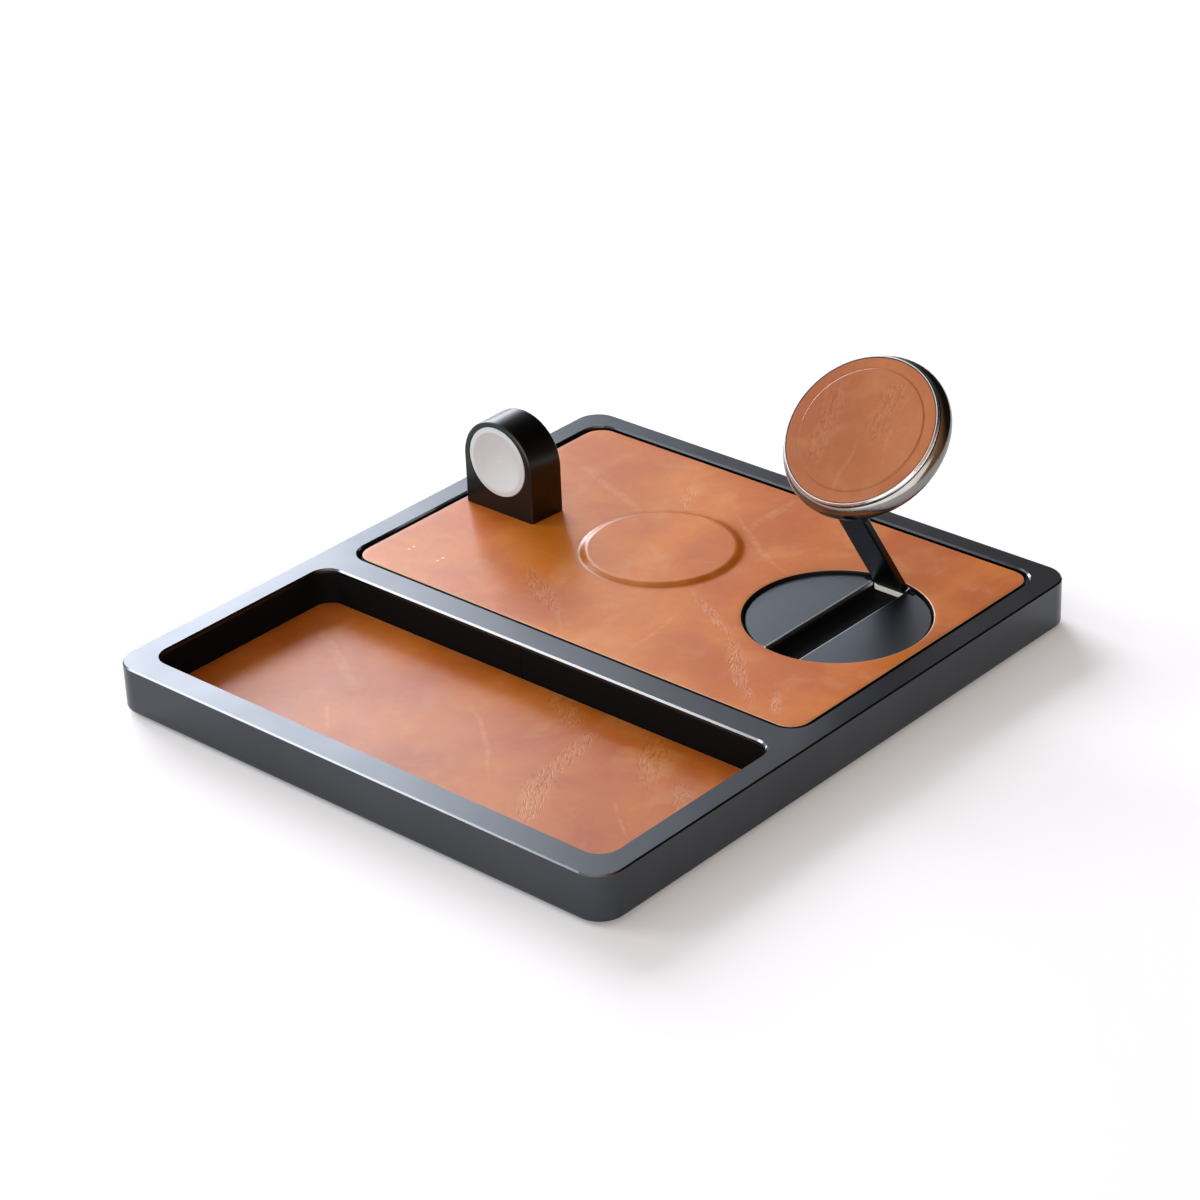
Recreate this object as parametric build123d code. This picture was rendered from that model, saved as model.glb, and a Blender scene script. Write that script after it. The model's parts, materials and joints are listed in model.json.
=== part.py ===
from build123d import *
import math
import os

# Charging tray: valet compartment in front, leather deck behind it with an earbud pad,
# a watch stand and a phone disc on an arm that folds down into a slot.
# X runs along the front edge, Y to the rear, Z up. The origin is the middle of the
# footprint, on the surface that the feet stand on. Millimetres.

# Tray frame, machined from one block
tray_width = 222.0
tray_depth = 248.8
tray_height = 17.3
foot_gap = 1.5
outer_corner = 9.5
side_rim = 8.3
front_rim = 10.0
rear_rim = 7.3
compartment_depth = 84.8
divider_width = 9.6
compartment_corner = 7.0
deck_corner = 8.4
outer_chamfer = 0.5
opening_chamfer = 0.6
lower_edge_round = 1.2
skirt_wall = 3.0
ledge_width = 5.0
ledge_thickness = 2.0

# Bottom cover and feet
cover_recess = 0.2
cover_thickness = 1.5
cover_gap = 0.25
foot_radius = 8.0
foot_seat = 0.5
foot_inset = 19.0
foot_edge_round = 0.6

# Screws: head radius, shank radius, head height and length for the two sizes
large_head = 2.4
large_shank = 1.25
large_head_height = 1.1
large_length = 7.0
small_head = 1.6
small_shank = 0.9
small_head_height = 0.7
small_length = 3.3
screw_edge = 0.8
cover_screw_rows = 4
recess_width_share = 0.3
recess_length_share = 1.2
recess_depth_share = 0.6
screw_clearance = 0.05

# Compartment floor and wall lining
board_thickness = 1.1
leather_thickness = 1.2
liner_thickness = 0.8
liner_top_drop = 1.6
liner_seam_x = -8.5
liner_seam_gap = 0.25
floor_gap = 0.2

# Deck
deck_drop = 0.6
deck_gap = 0.9
deck_plate_thickness = 2.0
deck_plate_inset = 0.4
leather_edge_round = 0.5
row_offset = 3.95

# Raised earbud pad and what lies under it
pad_offset = 0.8
pad_top_radius = 27.0
pad_foot_radius = 30.0
pad_height = 1.0
pad_coil_outer = 24.5
pad_coil_inner = 10.0
pad_coil_thickness = 1.2
ferrite_thickness = 1.0
coil_tray_wall = 1.5
coil_tray_floor = 1.0
coil_fit = 0.3
coil_screw_turns = (60, 180, 300)

# Recess of the phone disc, and the cradle that forms its slot
recess_wall_gap = 5.5
recess_gap = 2.3
recess_drop = 2.0
recess_plate_gap = 1.0
recess_plate_thickness = 1.5
recess_plate_edge = 0.3
slot_width = 13.9
slot_depth = 4.6
cradle_floor = 1.2
cradle_wall = 1.5
cradle_flange_thickness = 1.8
cradle_side_margin = 1.0
cradle_front_margin = 4.5
cradle_flange_corner = 10.0
cradle_screw_inset = 4.0
cradle_rear_gap = 0.3
ear_thickness = 3.2
ear_half_length = 2.6
ear_roof = 0.8
ear_notch_gap = 0.3

# Arm and its foot hinge
arm_angle = 58.2
arm_width = 13.0
arm_thickness = 3.0
arm_top_gap = 0.5
arm_hinge_inset = 1.5
arm_edge_round = 0.5
shoulder_drop = 6.6
shoulder_round = 3.0
barrel_radius = 2.3
barrel_width = 13.2
foot_pin_radius = 1.2
running_gap = 0.05
washer_thickness = 0.3

# Disc hinge at the arm's top
knuckle_radius = 2.0
knuckle_width = 6.0
disc_pin_radius = 1.0
lug_width = 3.0
lug_gap = 0.2
bracket_width = 14.0
bracket_length = 19.0
bracket_thickness = 1.0
bracket_corner = 2.0
bracket_offset = 5.0
bracket_screw_spacing = 9.0
bracket_screw_length = 1.8

# Phone disc, measured back from its leather face
disc_tilt = 40.8
disc_pivot_inset = 8.5
disc_lift = 0.3
disc_thickness = 9.5
face_groove_inset = 4.9
face_groove_width = 0.4
face_groove_depth = 0.2
bezel_width = 0.7
bezel_drop = 0.15
bezel_depth = 1.55
bezel_bevel_width = 0.6
bezel_bevel_depth = 0.42
groove_depth = 0.5
shell_radius = 30.7
shell_lip_inset = 2.2
bezel_gap = 0.1
shell_back_round = 3.5
shell_back_wall = 2.0
shell_side_wall = 1.8
neck_inset = 0.8
neck_gap = 0.1
disc_coil_inner = 9.0
disc_coil_thickness = 1.5
disc_coil_gap = 1.5
magnet_width = 3.9
magnet_gap = 0.5
magnet_count = 18
magnet_gap_degrees = 3.0

# Watch stand and its charging puck
stand_wall_gap = 2.9
stand_row_offset = 14.0
stand_depth = 15.5
stand_front_half_width = 16.3
stand_rear_half_width = 17.5
stand_height = 35.8
stand_edge_round = 0.9
puck_radius = 13.6
puck_height = 20.3
puck_thickness = 3.0
puck_dish_radius = 11.6
puck_dish_depth = 1.7
puck_rim_round = 0.5
puck_gap = 0.1
puck_case_depth = 5.5
puck_case_wall = 1.2
puck_coil_outer = 11.0
puck_coil_inner = 6.0
puck_coil_thickness = 1.4
puck_magnet_radius = 4.8
puck_magnet_thickness = 3.0
stand_duct_radius = 2.0
stand_screw_spacing = 22.0
stand_screw_length = 8.0

# Charge lights beside the watch stand
light_wall_inset = 14.1
light_front_inset = 18.1
light_pitch = 14.3
light_pair = 2.6
light_radius = 0.6
light_hole_gap = 0.05
light_board_length = 24.0
light_board_width = 9.0
light_board_thickness = 1.0

# Electronics
socket_x = 0.0
socket_width = 8.94
socket_height = 3.26
socket_wall = 0.3
socket_length = 7.4
socket_inset = 0.4
socket_hole_gap = 0.25
tongue_width = 6.7
tongue_thickness = 0.7
tongue_length = 5.4
socket_notch_gap = 1.0
socket_back = 1.4
main_board_width = 84.0
main_board_depth = 24.0
main_board_thickness = 1.6
main_board_gap = 0.4
board_tab_width = 13.0
post_height = 2.5
post_radius = 2.6
post_inset = 3.4

# Parts on the main board: place and size as shares of the board, height of its thickness
board_part_shares = [
    (-0.36, 0.5, 0.14, 0.5, 1.2),
    (-0.16, 0.4, 0.09, 0.32, 0.9),
    (0.14, 0.36, 0.1, 0.36, 1.2),
    (0.36, 0.5, 0.12, 0.42, 1.2),
    (0.25, 0.74, 0.05, 0.16, 0.7),
    (-0.25, 0.78, 0.05, 0.16, 0.7),
]

# Ballast under the recess, and the leads from the board to the coils
ballast_side_margin = 4.0
ballast_front_margin = 2.0
ballast_board_gap = 4.6
ballast_thickness = 4.0
ballast_corner = 4.0
ballast_screw_inset = 6.0
lead_radius = 0.6
lead_bend = 2.2
lead_x_shares = (-0.45, -0.19, 0.45)
lead_run_out = 14.1
lead_run_in = 15.0
lead_rise_gap = 3.3

# One overrun for every cut
over = 2.0

# Levels
frame_top = foot_gap + tray_height
cover_bottom = foot_gap + cover_recess
cover_top = cover_bottom + cover_thickness
floor_board_top = cover_top + board_thickness
floor_top = floor_board_top + leather_thickness
deck_top = frame_top - deck_drop
deck_plate_top = deck_top - leather_thickness
deck_plate_bottom = deck_plate_top - deck_plate_thickness
ledge_bottom = deck_plate_bottom - ledge_thickness
recess_floor = frame_top - recess_drop
recess_plate_bottom = recess_floor - recess_plate_thickness
slot_floor = recess_floor - slot_depth
cradle_bottom = slot_floor - cradle_floor
flange_bottom = deck_plate_bottom - cradle_flange_thickness
arm_hinge_z = recess_floor - arm_top_gap - arm_thickness / 2

# Plan of the openings, measured to their upright walls under the chamfer
wall_x = tray_width / 2 - side_rim - opening_chamfer
front_wall_y = -tray_depth / 2 + front_rim
compartment_y0 = front_wall_y + opening_chamfer
compartment_y1 = front_wall_y + compartment_depth - opening_chamfer
deck_y0 = front_wall_y + compartment_depth + divider_width + opening_chamfer
deck_y1 = tray_depth / 2 - rear_rim - opening_chamfer

# The phone disc, from its shell inwards
shell_lip_radius = shell_radius - shell_lip_inset
disc_leather_radius = shell_lip_radius - bezel_gap - bezel_width
face_groove_radius = disc_leather_radius - face_groove_inset
neck_radius = disc_leather_radius - neck_inset
magnet_outer = neck_radius - magnet_gap
magnet_inner = magnet_outer - magnet_width
disc_coil_outer = magnet_inner - disc_coil_gap
disc_pivot_offset = shell_radius - disc_pivot_inset

# The row on the deck: watch stand, earbud pad between, and the recess that takes the disc
deck_middle = (deck_y0 + deck_y1) / 2
row_y = deck_middle + row_offset
recess_radius = shell_radius + recess_gap
recess_x = wall_x - recess_wall_gap - recess_radius
arm_hinge_y = row_y + recess_radius - arm_hinge_inset
stand_x = stand_wall_gap + stand_rear_half_width - wall_x
stand_front_y = row_y - stand_row_offset
pad_x = (stand_x + stand_rear_half_width + recess_x - recess_radius) / 2 + pad_offset
light_x = light_wall_inset - wall_x
light_y = deck_y0 + light_front_inset

# The arm is as long as brings the folded disc back over the middle of the recess
arm_length = arm_hinge_y - row_y + disc_pivot_offset
pivot_depth = disc_lift + arm_top_gap + arm_thickness / 2
disc_hinge_y = arm_hinge_y - arm_length * math.cos(math.radians(arm_angle))
disc_hinge_z = arm_hinge_z + arm_length * math.sin(math.radians(arm_angle))
BOTTOM_UP = (Align.CENTER, Align.CENTER, Align.MIN)


def slab(x0, x1, y0, y1, bottom, top, corner=0):
    # Upright block with rounded corners
    outline = Rectangle(x1 - x0, y1 - y0)
    if corner:
        outline = RectangleRounded(x1 - x0, y1 - y0, corner)
    return Pos((x0 + x1) / 2, (y0 + y1) / 2, bottom) * extrude(outline, top - bottom)


def disc(radius, bottom, top, x=0, y=0):
    # Upright cylinder between two heights
    return Pos(x, y, bottom) * Cylinder(radius, top - bottom, align=BOTTOM_UP)


def rod(radius, x0, x1):
    # Cylinder along X through the origin of Y and Z
    return Pos(x0, 0, 0) * Rot(0, 90, 0) * Cylinder(radius, x1 - x0, align=BOTTOM_UP)


def group(solids):
    # Separate like solids kept together in one node
    return Compound([solid for piece in solids for solid in piece.solids()])


def screw(head, shank, head_height, length, swell=0):
    # Countersunk screw, head down at the origin, shank up; swell gives its hole
    cone = Cone(head + swell, shank + swell, head_height, align=BOTTOM_UP)
    body = cone + disc(shank + swell, 0, length + swell)
    if swell:
        return body + disc(head + swell, -over, 0)
    cross = recess_width_share * head
    reach = recess_length_share * head
    for width, depth in ((cross, reach), (reach, cross)):
        body -= Box(width, depth, 2 * recess_depth_share * head_height)
    return body


def large_screw(swell=0, length=large_length):
    return screw(large_head, large_shank, large_head_height, length, swell)


def small_screw(swell=0, length=small_length):
    return screw(small_head, small_shank, small_head_height, length, swell)


def arch(half_width, height):
    # Upright outline with a flat foot and a round top, in X and Z
    centre = height - half_width
    outline = Polyline((-half_width, centre), (-half_width, 0), (half_width, 0), (half_width, centre))
    outline += ThreePointArc((half_width, centre), (0, height), (-half_width, centre))
    return make_face(outline)


# Places of the fasteners and feet
cover_screw_x = tray_width / 2 - skirt_wall - cover_gap - large_head - screw_edge
cover_screw_reach = tray_depth / 2 - outer_corner - large_head
cover_screw_pitch = 2 * cover_screw_reach / (cover_screw_rows - 1)
cover_screws = [(side * cover_screw_x, row * cover_screw_pitch - cover_screw_reach)
                for side in (-1, 1) for row in range(cover_screw_rows)]
feet = [(side * (tray_width / 2 - foot_inset), end * (tray_depth / 2 - foot_inset))
        for side in (-1, 1) for end in (-1, 1)]
deck_screw_x = wall_x - ledge_width / 2 - screw_clearance
deck_screw_reach = (deck_y1 - deck_y0) / 2 - deck_corner - ledge_width
deck_screws = [(side * deck_screw_x, deck_middle + step * deck_screw_reach)
               for side in (-1, 1) for step in (-1, 0, 1)]
cradle_x0 = recess_x - recess_radius - cradle_side_margin
cradle_x1 = wall_x - ledge_width - coil_fit
cradle_y0 = row_y - recess_radius - cradle_front_margin
cradle_y1 = deck_y1 - ledge_width - coil_fit
cradle_screws = [(x, y)
                 for x in (cradle_x0 + cradle_screw_inset, cradle_x1 - cradle_screw_inset)
                 for y in (cradle_y0 + cradle_screw_inset, cradle_y1 - cradle_screw_inset)]
coil_tray_radius = pad_coil_outer + coil_fit + coil_tray_wall
coil_tray_bottom = deck_plate_bottom - pad_coil_thickness - ferrite_thickness - coil_tray_floor
pad_ferrite_bottom = coil_tray_bottom + coil_tray_floor
coil_screw_length = deck_plate_top - pad_ferrite_bottom - screw_edge
coil_screw_ring = coil_tray_radius + small_head
coil_screws = [(pad_x + coil_screw_ring * math.cos(math.radians(turn)),
                row_y + coil_screw_ring * math.sin(math.radians(turn)))
                for turn in coil_screw_turns]
stand_middle_y = stand_front_y + stand_depth / 2
stand_screws = [(stand_x + side * stand_screw_spacing / 2, stand_middle_y) for side in (-1, 1)]
main_board_y1 = deck_y1 - main_board_gap
main_board_y0 = main_board_y1 - main_board_depth
main_board_bottom = cover_top + post_height
main_board_top = main_board_bottom + main_board_thickness
board_screws = [(socket_x + side * (main_board_width / 2 - post_inset), y)
                for side in (-1, 1) for y in (main_board_y0 + post_inset, main_board_y1 - post_inset)]
ballast_x0 = recess_x - recess_radius - ballast_side_margin
ballast_x1 = recess_x + recess_radius + ballast_side_margin
ballast_y0 = row_y - recess_radius - ballast_front_margin
ballast_y1 = main_board_y0 - ballast_board_gap
ballast_screws = [(x, y)
                  for x in (ballast_x0 + ballast_screw_inset, ballast_x1 - ballast_screw_inset)
                  for y in (ballast_y0 + ballast_screw_inset, ballast_y1 - ballast_screw_inset)]
lights = [(light_x + step * light_pitch, light_y + side * light_pair / 2)
          for step in (0, 1) for side in (-1, 1)]
socket_z = main_board_top + socket_height / 2
socket_y1 = tray_depth / 2 - socket_inset
socket_y0 = socket_y1 - socket_length

# Heights inside the phone disc, down from its leather face
disc_back = -disc_thickness
disc_floor = disc_back + shell_back_wall
coil_top = disc_floor + ferrite_thickness + disc_coil_thickness
shell_top = -bezel_depth - groove_depth
disc_pivot_z = disc_back - pivot_depth
bracket_screw_y = -disc_pivot_offset + bracket_length - knuckle_radius - bracket_offset
bracket_screws = [(side * bracket_screw_spacing / 2, bracket_screw_y) for side in (-1, 1)]


def drill(body, places, level, cutter):
    # Take the same hole out of a body at each place
    for x, y in places:
        body -= Pos(x, y, level) * cutter
    return body


def seat(places, level, fastener):
    # Put the same fastener at each place
    return group([Pos(x, y, level) * fastener for x, y in places])


def stadium(width, height, y0, y1):
    # Flat oval bar along Y for the socket and its hole
    outline = RectangleRounded(width, height, height / 2 - screw_clearance)
    return Pos(socket_x, y1, socket_z) * Rot(90, 0, 0) * extrude(outline, y1 - y0)


def tray_frame():
    half_x = tray_width / 2
    half_y = tray_depth / 2
    body = slab(-half_x, half_x, -half_y, half_y, foot_gap, frame_top, outer_corner)
    body = fillet(body.faces().sort_by(Axis.Z)[0].edges(), lower_edge_round)
    body -= slab(-wall_x, wall_x, compartment_y0, compartment_y1, 0, frame_top + over, compartment_corner)
    body -= slab(-wall_x, wall_x, deck_y0, deck_y1, deck_plate_bottom, frame_top + over, deck_corner)
    body -= slab(-wall_x, wall_x, deck_y0, deck_y1, 0, ledge_bottom, deck_corner)
    body -= slab(-wall_x + ledge_width, wall_x - ledge_width, deck_y0 + ledge_width, deck_y1 - ledge_width,
                 0, frame_top, deck_corner - opening_chamfer)
    top_face = body.faces().sort_by(Axis.Z)[-1]
    body = chamfer(top_face.outer_wire().edges(), outer_chamfer)
    top_face = body.faces().sort_by(Axis.Z)[-1]
    body = chamfer([edge for wire in top_face.inner_wires() for edge in wire.edges()], opening_chamfer)
    body -= slab(-wall_x - liner_thickness, wall_x + liner_thickness, compartment_y0 - liner_thickness,
                 compartment_y1 + liner_thickness, 0, frame_top - liner_top_drop,
                 compartment_corner + liner_thickness)
    skirt_x = half_x - skirt_wall
    skirt_y = half_y - skirt_wall
    body -= slab(-skirt_x, skirt_x, -skirt_y, skirt_y, 0, cover_top, outer_corner - skirt_wall)
    body -= stadium(socket_width + 2 * socket_hole_gap, socket_height + 2 * socket_hole_gap,
                    deck_y1 - over, half_y + over)
    notch_half = board_tab_width / 2 + socket_notch_gap
    body -= slab(socket_x - notch_half, socket_x + notch_half, deck_y1 - over, half_y - skirt_wall,
                 0, socket_z + socket_height / 2 + socket_notch_gap)
    body = drill(body, cover_screws, cover_bottom, large_screw(screw_clearance))
    return drill(body, deck_screws, ledge_bottom, small_screw(screw_clearance))


def bottom_cover():
    cover_x = tray_width / 2 - skirt_wall - cover_gap
    cover_y = tray_depth / 2 - skirt_wall - cover_gap
    body = slab(-cover_x, cover_x, -cover_y, cover_y, cover_bottom, cover_top, outer_corner - skirt_wall)
    for x, y in board_screws:
        body += disc(post_radius, cover_top, main_board_bottom, x, y)
        body -= disc(small_shank + screw_clearance, cover_bottom + foot_seat, main_board_bottom + over,
                     x, y)
    for x, y in feet:
        body -= disc(foot_radius + screw_clearance, 0, cover_bottom + foot_seat, x, y)
    body = drill(body, cover_screws, cover_bottom, large_screw(screw_clearance))
    return drill(body, ballast_screws, cover_bottom, small_screw(screw_clearance))


def rubber_feet():
    foot = disc(foot_radius, 0, cover_bottom + foot_seat)
    foot = fillet(foot.edges().sort_by(Axis.Z)[0], foot_edge_round)
    return group([Pos(x, y, 0) * foot for x, y in feet])


def compartment_board():
    inset_x = wall_x + liner_thickness - floor_gap
    return slab(-inset_x, inset_x, compartment_y0 - liner_thickness + floor_gap,
                compartment_y1 + liner_thickness - floor_gap, cover_top, floor_board_top,
                compartment_corner + liner_thickness - floor_gap)


def compartment_leather():
    inset_x = wall_x - floor_gap
    return slab(-inset_x, inset_x, compartment_y0 + floor_gap, compartment_y1 - floor_gap,
                floor_board_top, floor_top, compartment_corner - floor_gap)


def compartment_liner():
    top = frame_top - liner_top_drop - floor_gap
    outer_x = wall_x + liner_thickness
    band = slab(-outer_x, outer_x, compartment_y0 - liner_thickness, compartment_y1 + liner_thickness,
                floor_board_top, top, compartment_corner + liner_thickness)
    band -= slab(-wall_x, wall_x, compartment_y0, compartment_y1, 0, frame_top, compartment_corner)
    seam = liner_seam_gap / 2
    return band - slab(liner_seam_x - seam, liner_seam_x + seam, compartment_y1 - over,
                       compartment_y1 + over, 0, frame_top)


def deck_outline(inset, bottom, top):
    reach = wall_x - deck_gap - inset
    return slab(-reach, reach, deck_y0 + deck_gap + inset, deck_y1 - deck_gap - inset, bottom, top,
                deck_corner - deck_gap)


def deck_plate():
    body = deck_outline(deck_plate_inset, deck_plate_bottom, deck_plate_top)
    body -= disc(recess_radius, 0, frame_top, recess_x, row_y)
    notch = slot_width / 2 + ear_thickness + ear_notch_gap
    body -= slab(recess_x - notch, recess_x + notch, row_y,
                 arm_hinge_y + ear_half_length + ear_notch_gap, 0, frame_top)
    body -= disc(stand_duct_radius, 0, frame_top, stand_x, stand_middle_y)
    for x, y in lights:
        body -= disc(light_radius + light_hole_gap, 0, frame_top, x, y)
    body = drill(body, deck_screws, ledge_bottom, small_screw(screw_clearance))
    body = drill(body, cradle_screws, flange_bottom, small_screw(screw_clearance))
    body = drill(body, coil_screws, coil_tray_bottom + coil_tray_floor,
                 small_screw(screw_clearance, coil_screw_length))
    return drill(body, stand_screws, deck_plate_bottom, small_screw(screw_clearance, stand_screw_length))


def pad_dome(shrink, bottom, height):
    # Low round step with sloping sides
    foot = pad_foot_radius - shrink
    crown = pad_top_radius - shrink
    return Pos(pad_x, row_y, bottom) * Cone(foot, crown, height, align=BOTTOM_UP)


def deck_leather():
    body = deck_outline(0, deck_plate_top, deck_top)
    body = fillet(body.faces().sort_by(Axis.Z)[-1].edges(), leather_edge_round)
    body += pad_dome(0, deck_top, pad_height)
    body -= pad_dome(leather_thickness, deck_plate_top, pad_height)
    body -= disc(recess_radius, 0, frame_top, recess_x, row_y)
    body -= disc(stand_duct_radius, 0, frame_top, stand_x, stand_middle_y)
    for x, y in lights:
        body -= disc(light_radius + light_hole_gap, 0, frame_top, x, y)
    return drill(body, stand_screws, deck_plate_bottom, small_screw(screw_clearance, stand_screw_length))


def pad_riser():
    return pad_dome(leather_thickness, deck_plate_top, pad_height)


def coil_tray():
    top = deck_plate_bottom
    body = disc(coil_tray_radius, coil_tray_bottom, top, pad_x, row_y)
    for x, y in coil_screws:
        body += disc(small_head + coil_tray_floor, coil_tray_bottom + coil_tray_floor, top, x, y)
    body -= disc(pad_coil_outer + coil_fit, coil_tray_bottom + coil_tray_floor, top + over, pad_x, row_y)
    return drill(body, coil_screws, coil_tray_bottom + coil_tray_floor,
                 small_screw(screw_clearance, coil_screw_length))


def ring(outer, inner, bottom, top, x=0, y=0):
    return disc(outer, bottom, top, x, y) - disc(inner, bottom - over, top + over, x, y)


def recess_plate():
    radius = recess_radius - recess_plate_gap
    body = disc(radius, recess_plate_bottom, recess_floor, recess_x, row_y)
    body -= slab(recess_x - slot_width / 2, recess_x + slot_width / 2, row_y - recess_radius,
                 row_y + recess_radius, 0, frame_top)
    notch = slot_width / 2 + ear_thickness + ear_notch_gap
    body -= slab(recess_x - notch, recess_x + notch, arm_hinge_y - ear_half_length - ear_notch_gap,
                 row_y + recess_radius, 0, frame_top)
    tops = [edge for solid in body.solids() for edge in solid.faces().sort_by(Axis.Z)[-1].edges()]
    return chamfer(tops, recess_plate_edge)


def slot_cradle():
    half_slot = slot_width / 2
    rear = arm_hinge_y + barrel_radius + cradle_rear_gap
    body = slab(cradle_x0, cradle_x1, cradle_y0, cradle_y1, flange_bottom, deck_plate_bottom,
                cradle_flange_corner)
    body += disc(recess_radius - recess_plate_gap, flange_bottom, recess_plate_bottom, recess_x, row_y)
    shell_half = half_slot + cradle_wall
    body += slab(recess_x - shell_half, recess_x + shell_half, row_y - recess_radius,
                 rear + cradle_wall, cradle_bottom, deck_plate_bottom)
    ear_outer = half_slot + ear_thickness
    body += slab(recess_x - ear_outer, recess_x + ear_outer, arm_hinge_y - ear_half_length,
                 arm_hinge_y + ear_half_length, cradle_bottom, arm_hinge_z + foot_pin_radius + ear_roof)
    body -= slab(recess_x - half_slot, recess_x + half_slot, row_y - recess_radius + recess_plate_gap,
                 rear, slot_floor, frame_top)
    pin_hole = rod(foot_pin_radius, -ear_outer - over, ear_outer + over)
    body -= Pos(recess_x, arm_hinge_y, arm_hinge_z) * pin_hole
    return drill(body, cradle_screws, flange_bottom, small_screw(screw_clearance))


def foot_pin():
    reach = slot_width / 2 + ear_thickness
    return Pos(recess_x, arm_hinge_y, arm_hinge_z) * rod(foot_pin_radius, -reach, reach)


def hinge_washers():
    washer = rod(barrel_radius - running_gap, barrel_width / 2, barrel_width / 2 + washer_thickness)
    washer -= rod(foot_pin_radius + running_gap, 0, slot_width)
    pair = [Pos(recess_x, arm_hinge_y, arm_hinge_z) * Rot(0, 0, turn) * washer for turn in (0, 180)]
    return group(pair)


def on_arm(shape):
    # From the arm's own frame, foot hinge at the origin and Z up the arm, to its place
    return Pos(recess_x, arm_hinge_y, arm_hinge_z) * Rot(90 - arm_angle, 0, 0) * shape


def arm():
    straight = arm_length - shoulder_drop
    bar = Pos(0, 0, straight / 2) * Box(arm_width, arm_thickness, straight)
    bar = fillet(bar.edges().filter_by(Axis.Y).group_by(Axis.Z)[-1], shoulder_round)
    bar = chamfer(bar.edges().filter_by(Axis.Z), arm_edge_round)
    neck = Pos(0, 0, arm_length - shoulder_drop / 2) * Box(knuckle_width, arm_thickness, shoulder_drop)
    bar += neck
    bar += Pos(0, 0, arm_length) * rod(knuckle_radius, -knuckle_width / 2, knuckle_width / 2)
    bar -= Pos(0, 0, arm_length) * rod(disc_pin_radius + running_gap, -arm_width, arm_width)
    bar -= rod(barrel_radius, -arm_width, arm_width)
    bar = bar.solids().sort_by(SortBy.VOLUME)[-1]
    return on_arm(bar)


def hinge_barrel():
    tube = rod(barrel_radius, -barrel_width / 2, barrel_width / 2)
    return on_arm(tube - rod(foot_pin_radius + running_gap, -arm_width, arm_width))


def on_disc(shape):
    # From the disc's own frame, centre of the leather face at the origin and Z out of it
    lift = Pos(0, disc_pivot_offset, -disc_pivot_z)
    return Pos(recess_x, disc_hinge_y, disc_hinge_z) * Rot(disc_tilt, 0, 0) * lift * shape


def disc_pin():
    reach = knuckle_width / 2 + lug_gap + lug_width
    return on_disc(Pos(0, -disc_pivot_offset, disc_pivot_z) * rod(disc_pin_radius, -reach, reach))


def bracket_plate(grow, bottom, top):
    half = bracket_width / 2 + grow
    y0 = -disc_pivot_offset - knuckle_radius - grow
    return slab(-half, half, y0, y0 + bracket_length + 2 * grow, bottom, top, bracket_corner + grow)


def disc_bracket():
    body = bracket_plate(0, disc_back, disc_back + bracket_thickness)
    inner = knuckle_width / 2 + lug_gap
    for side in (-1, 1):
        x0, x1 = sorted((side * inner, side * (inner + lug_width)))
        root = slab(x0, x1, -disc_pivot_offset - knuckle_radius, -disc_pivot_offset + knuckle_radius,
                    disc_pivot_z, disc_back)
        eye = Pos(0, -disc_pivot_offset, disc_pivot_z) * rod(knuckle_radius, x0, x1)
        body += root + eye
    body -= Pos(0, -disc_pivot_offset, disc_pivot_z) * rod(disc_pin_radius, -arm_width, arm_width)
    return on_disc(drill(body, bracket_screws, disc_back,
                         small_screw(screw_clearance, bracket_screw_length)))


def disc_shell():
    # Round-sided dish, turned about the disc's axis
    belly = shell_radius - shell_back_round
    belly_z = disc_back + shell_back_round
    drop = shell_top - belly_z
    flare = shell_radius - shell_lip_radius
    bow = (flare ** 2 + drop ** 2) / (2 * flare)
    half_turn = math.asin(drop / bow) / 2
    bow_mid = (shell_radius - bow + bow * math.cos(half_turn), belly_z + bow * math.sin(half_turn))
    slant = shell_back_round * math.sqrt(2) / 2
    inner = neck_radius + neck_gap
    hollow = shell_radius - shell_side_wall
    outline = Polyline((0, disc_floor), (0, disc_back), (belly, disc_back))
    outline += ThreePointArc((belly, disc_back), (belly + slant, belly_z - slant), (shell_radius, belly_z))
    outline += ThreePointArc((shell_radius, belly_z), bow_mid, (shell_lip_radius, shell_top))
    outline += Polyline((shell_lip_radius, shell_top), (inner, shell_top),
                        (inner, shell_top - shell_side_wall),
                        (hollow, belly_z), (inner, disc_floor), (0, disc_floor))
    body = revolve(Plane.XZ * make_face(outline), Axis.Z)
    body -= bracket_plate(screw_clearance, disc_back - over, disc_back + bracket_thickness)
    return on_disc(drill(body, bracket_screws, disc_back,
                         small_screw(screw_clearance, bracket_screw_length)))


def disc_carrier():
    flange = disc(disc_leather_radius, -bezel_depth, -leather_thickness)
    return on_disc(flange + disc(neck_radius, coil_top, -bezel_depth))


def disc_bezel():
    outer = disc_leather_radius + bezel_width
    body = ring(outer, disc_leather_radius, -bezel_depth, -bezel_drop)
    rim = body.faces().sort_by(Axis.Z)[-1].outer_wire().edges()
    return on_disc(chamfer(rim, bezel_bevel_width, bezel_bevel_depth))


def disc_leather():
    body = disc(disc_leather_radius - screw_clearance, -leather_thickness, 0)
    body = fillet(body.edges().sort_by(Axis.Z)[-1], leather_edge_round)
    groove = ring(face_groove_radius + face_groove_width / 2, face_groove_radius - face_groove_width / 2,
                  -face_groove_depth, over)
    return on_disc(body - groove)


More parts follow.
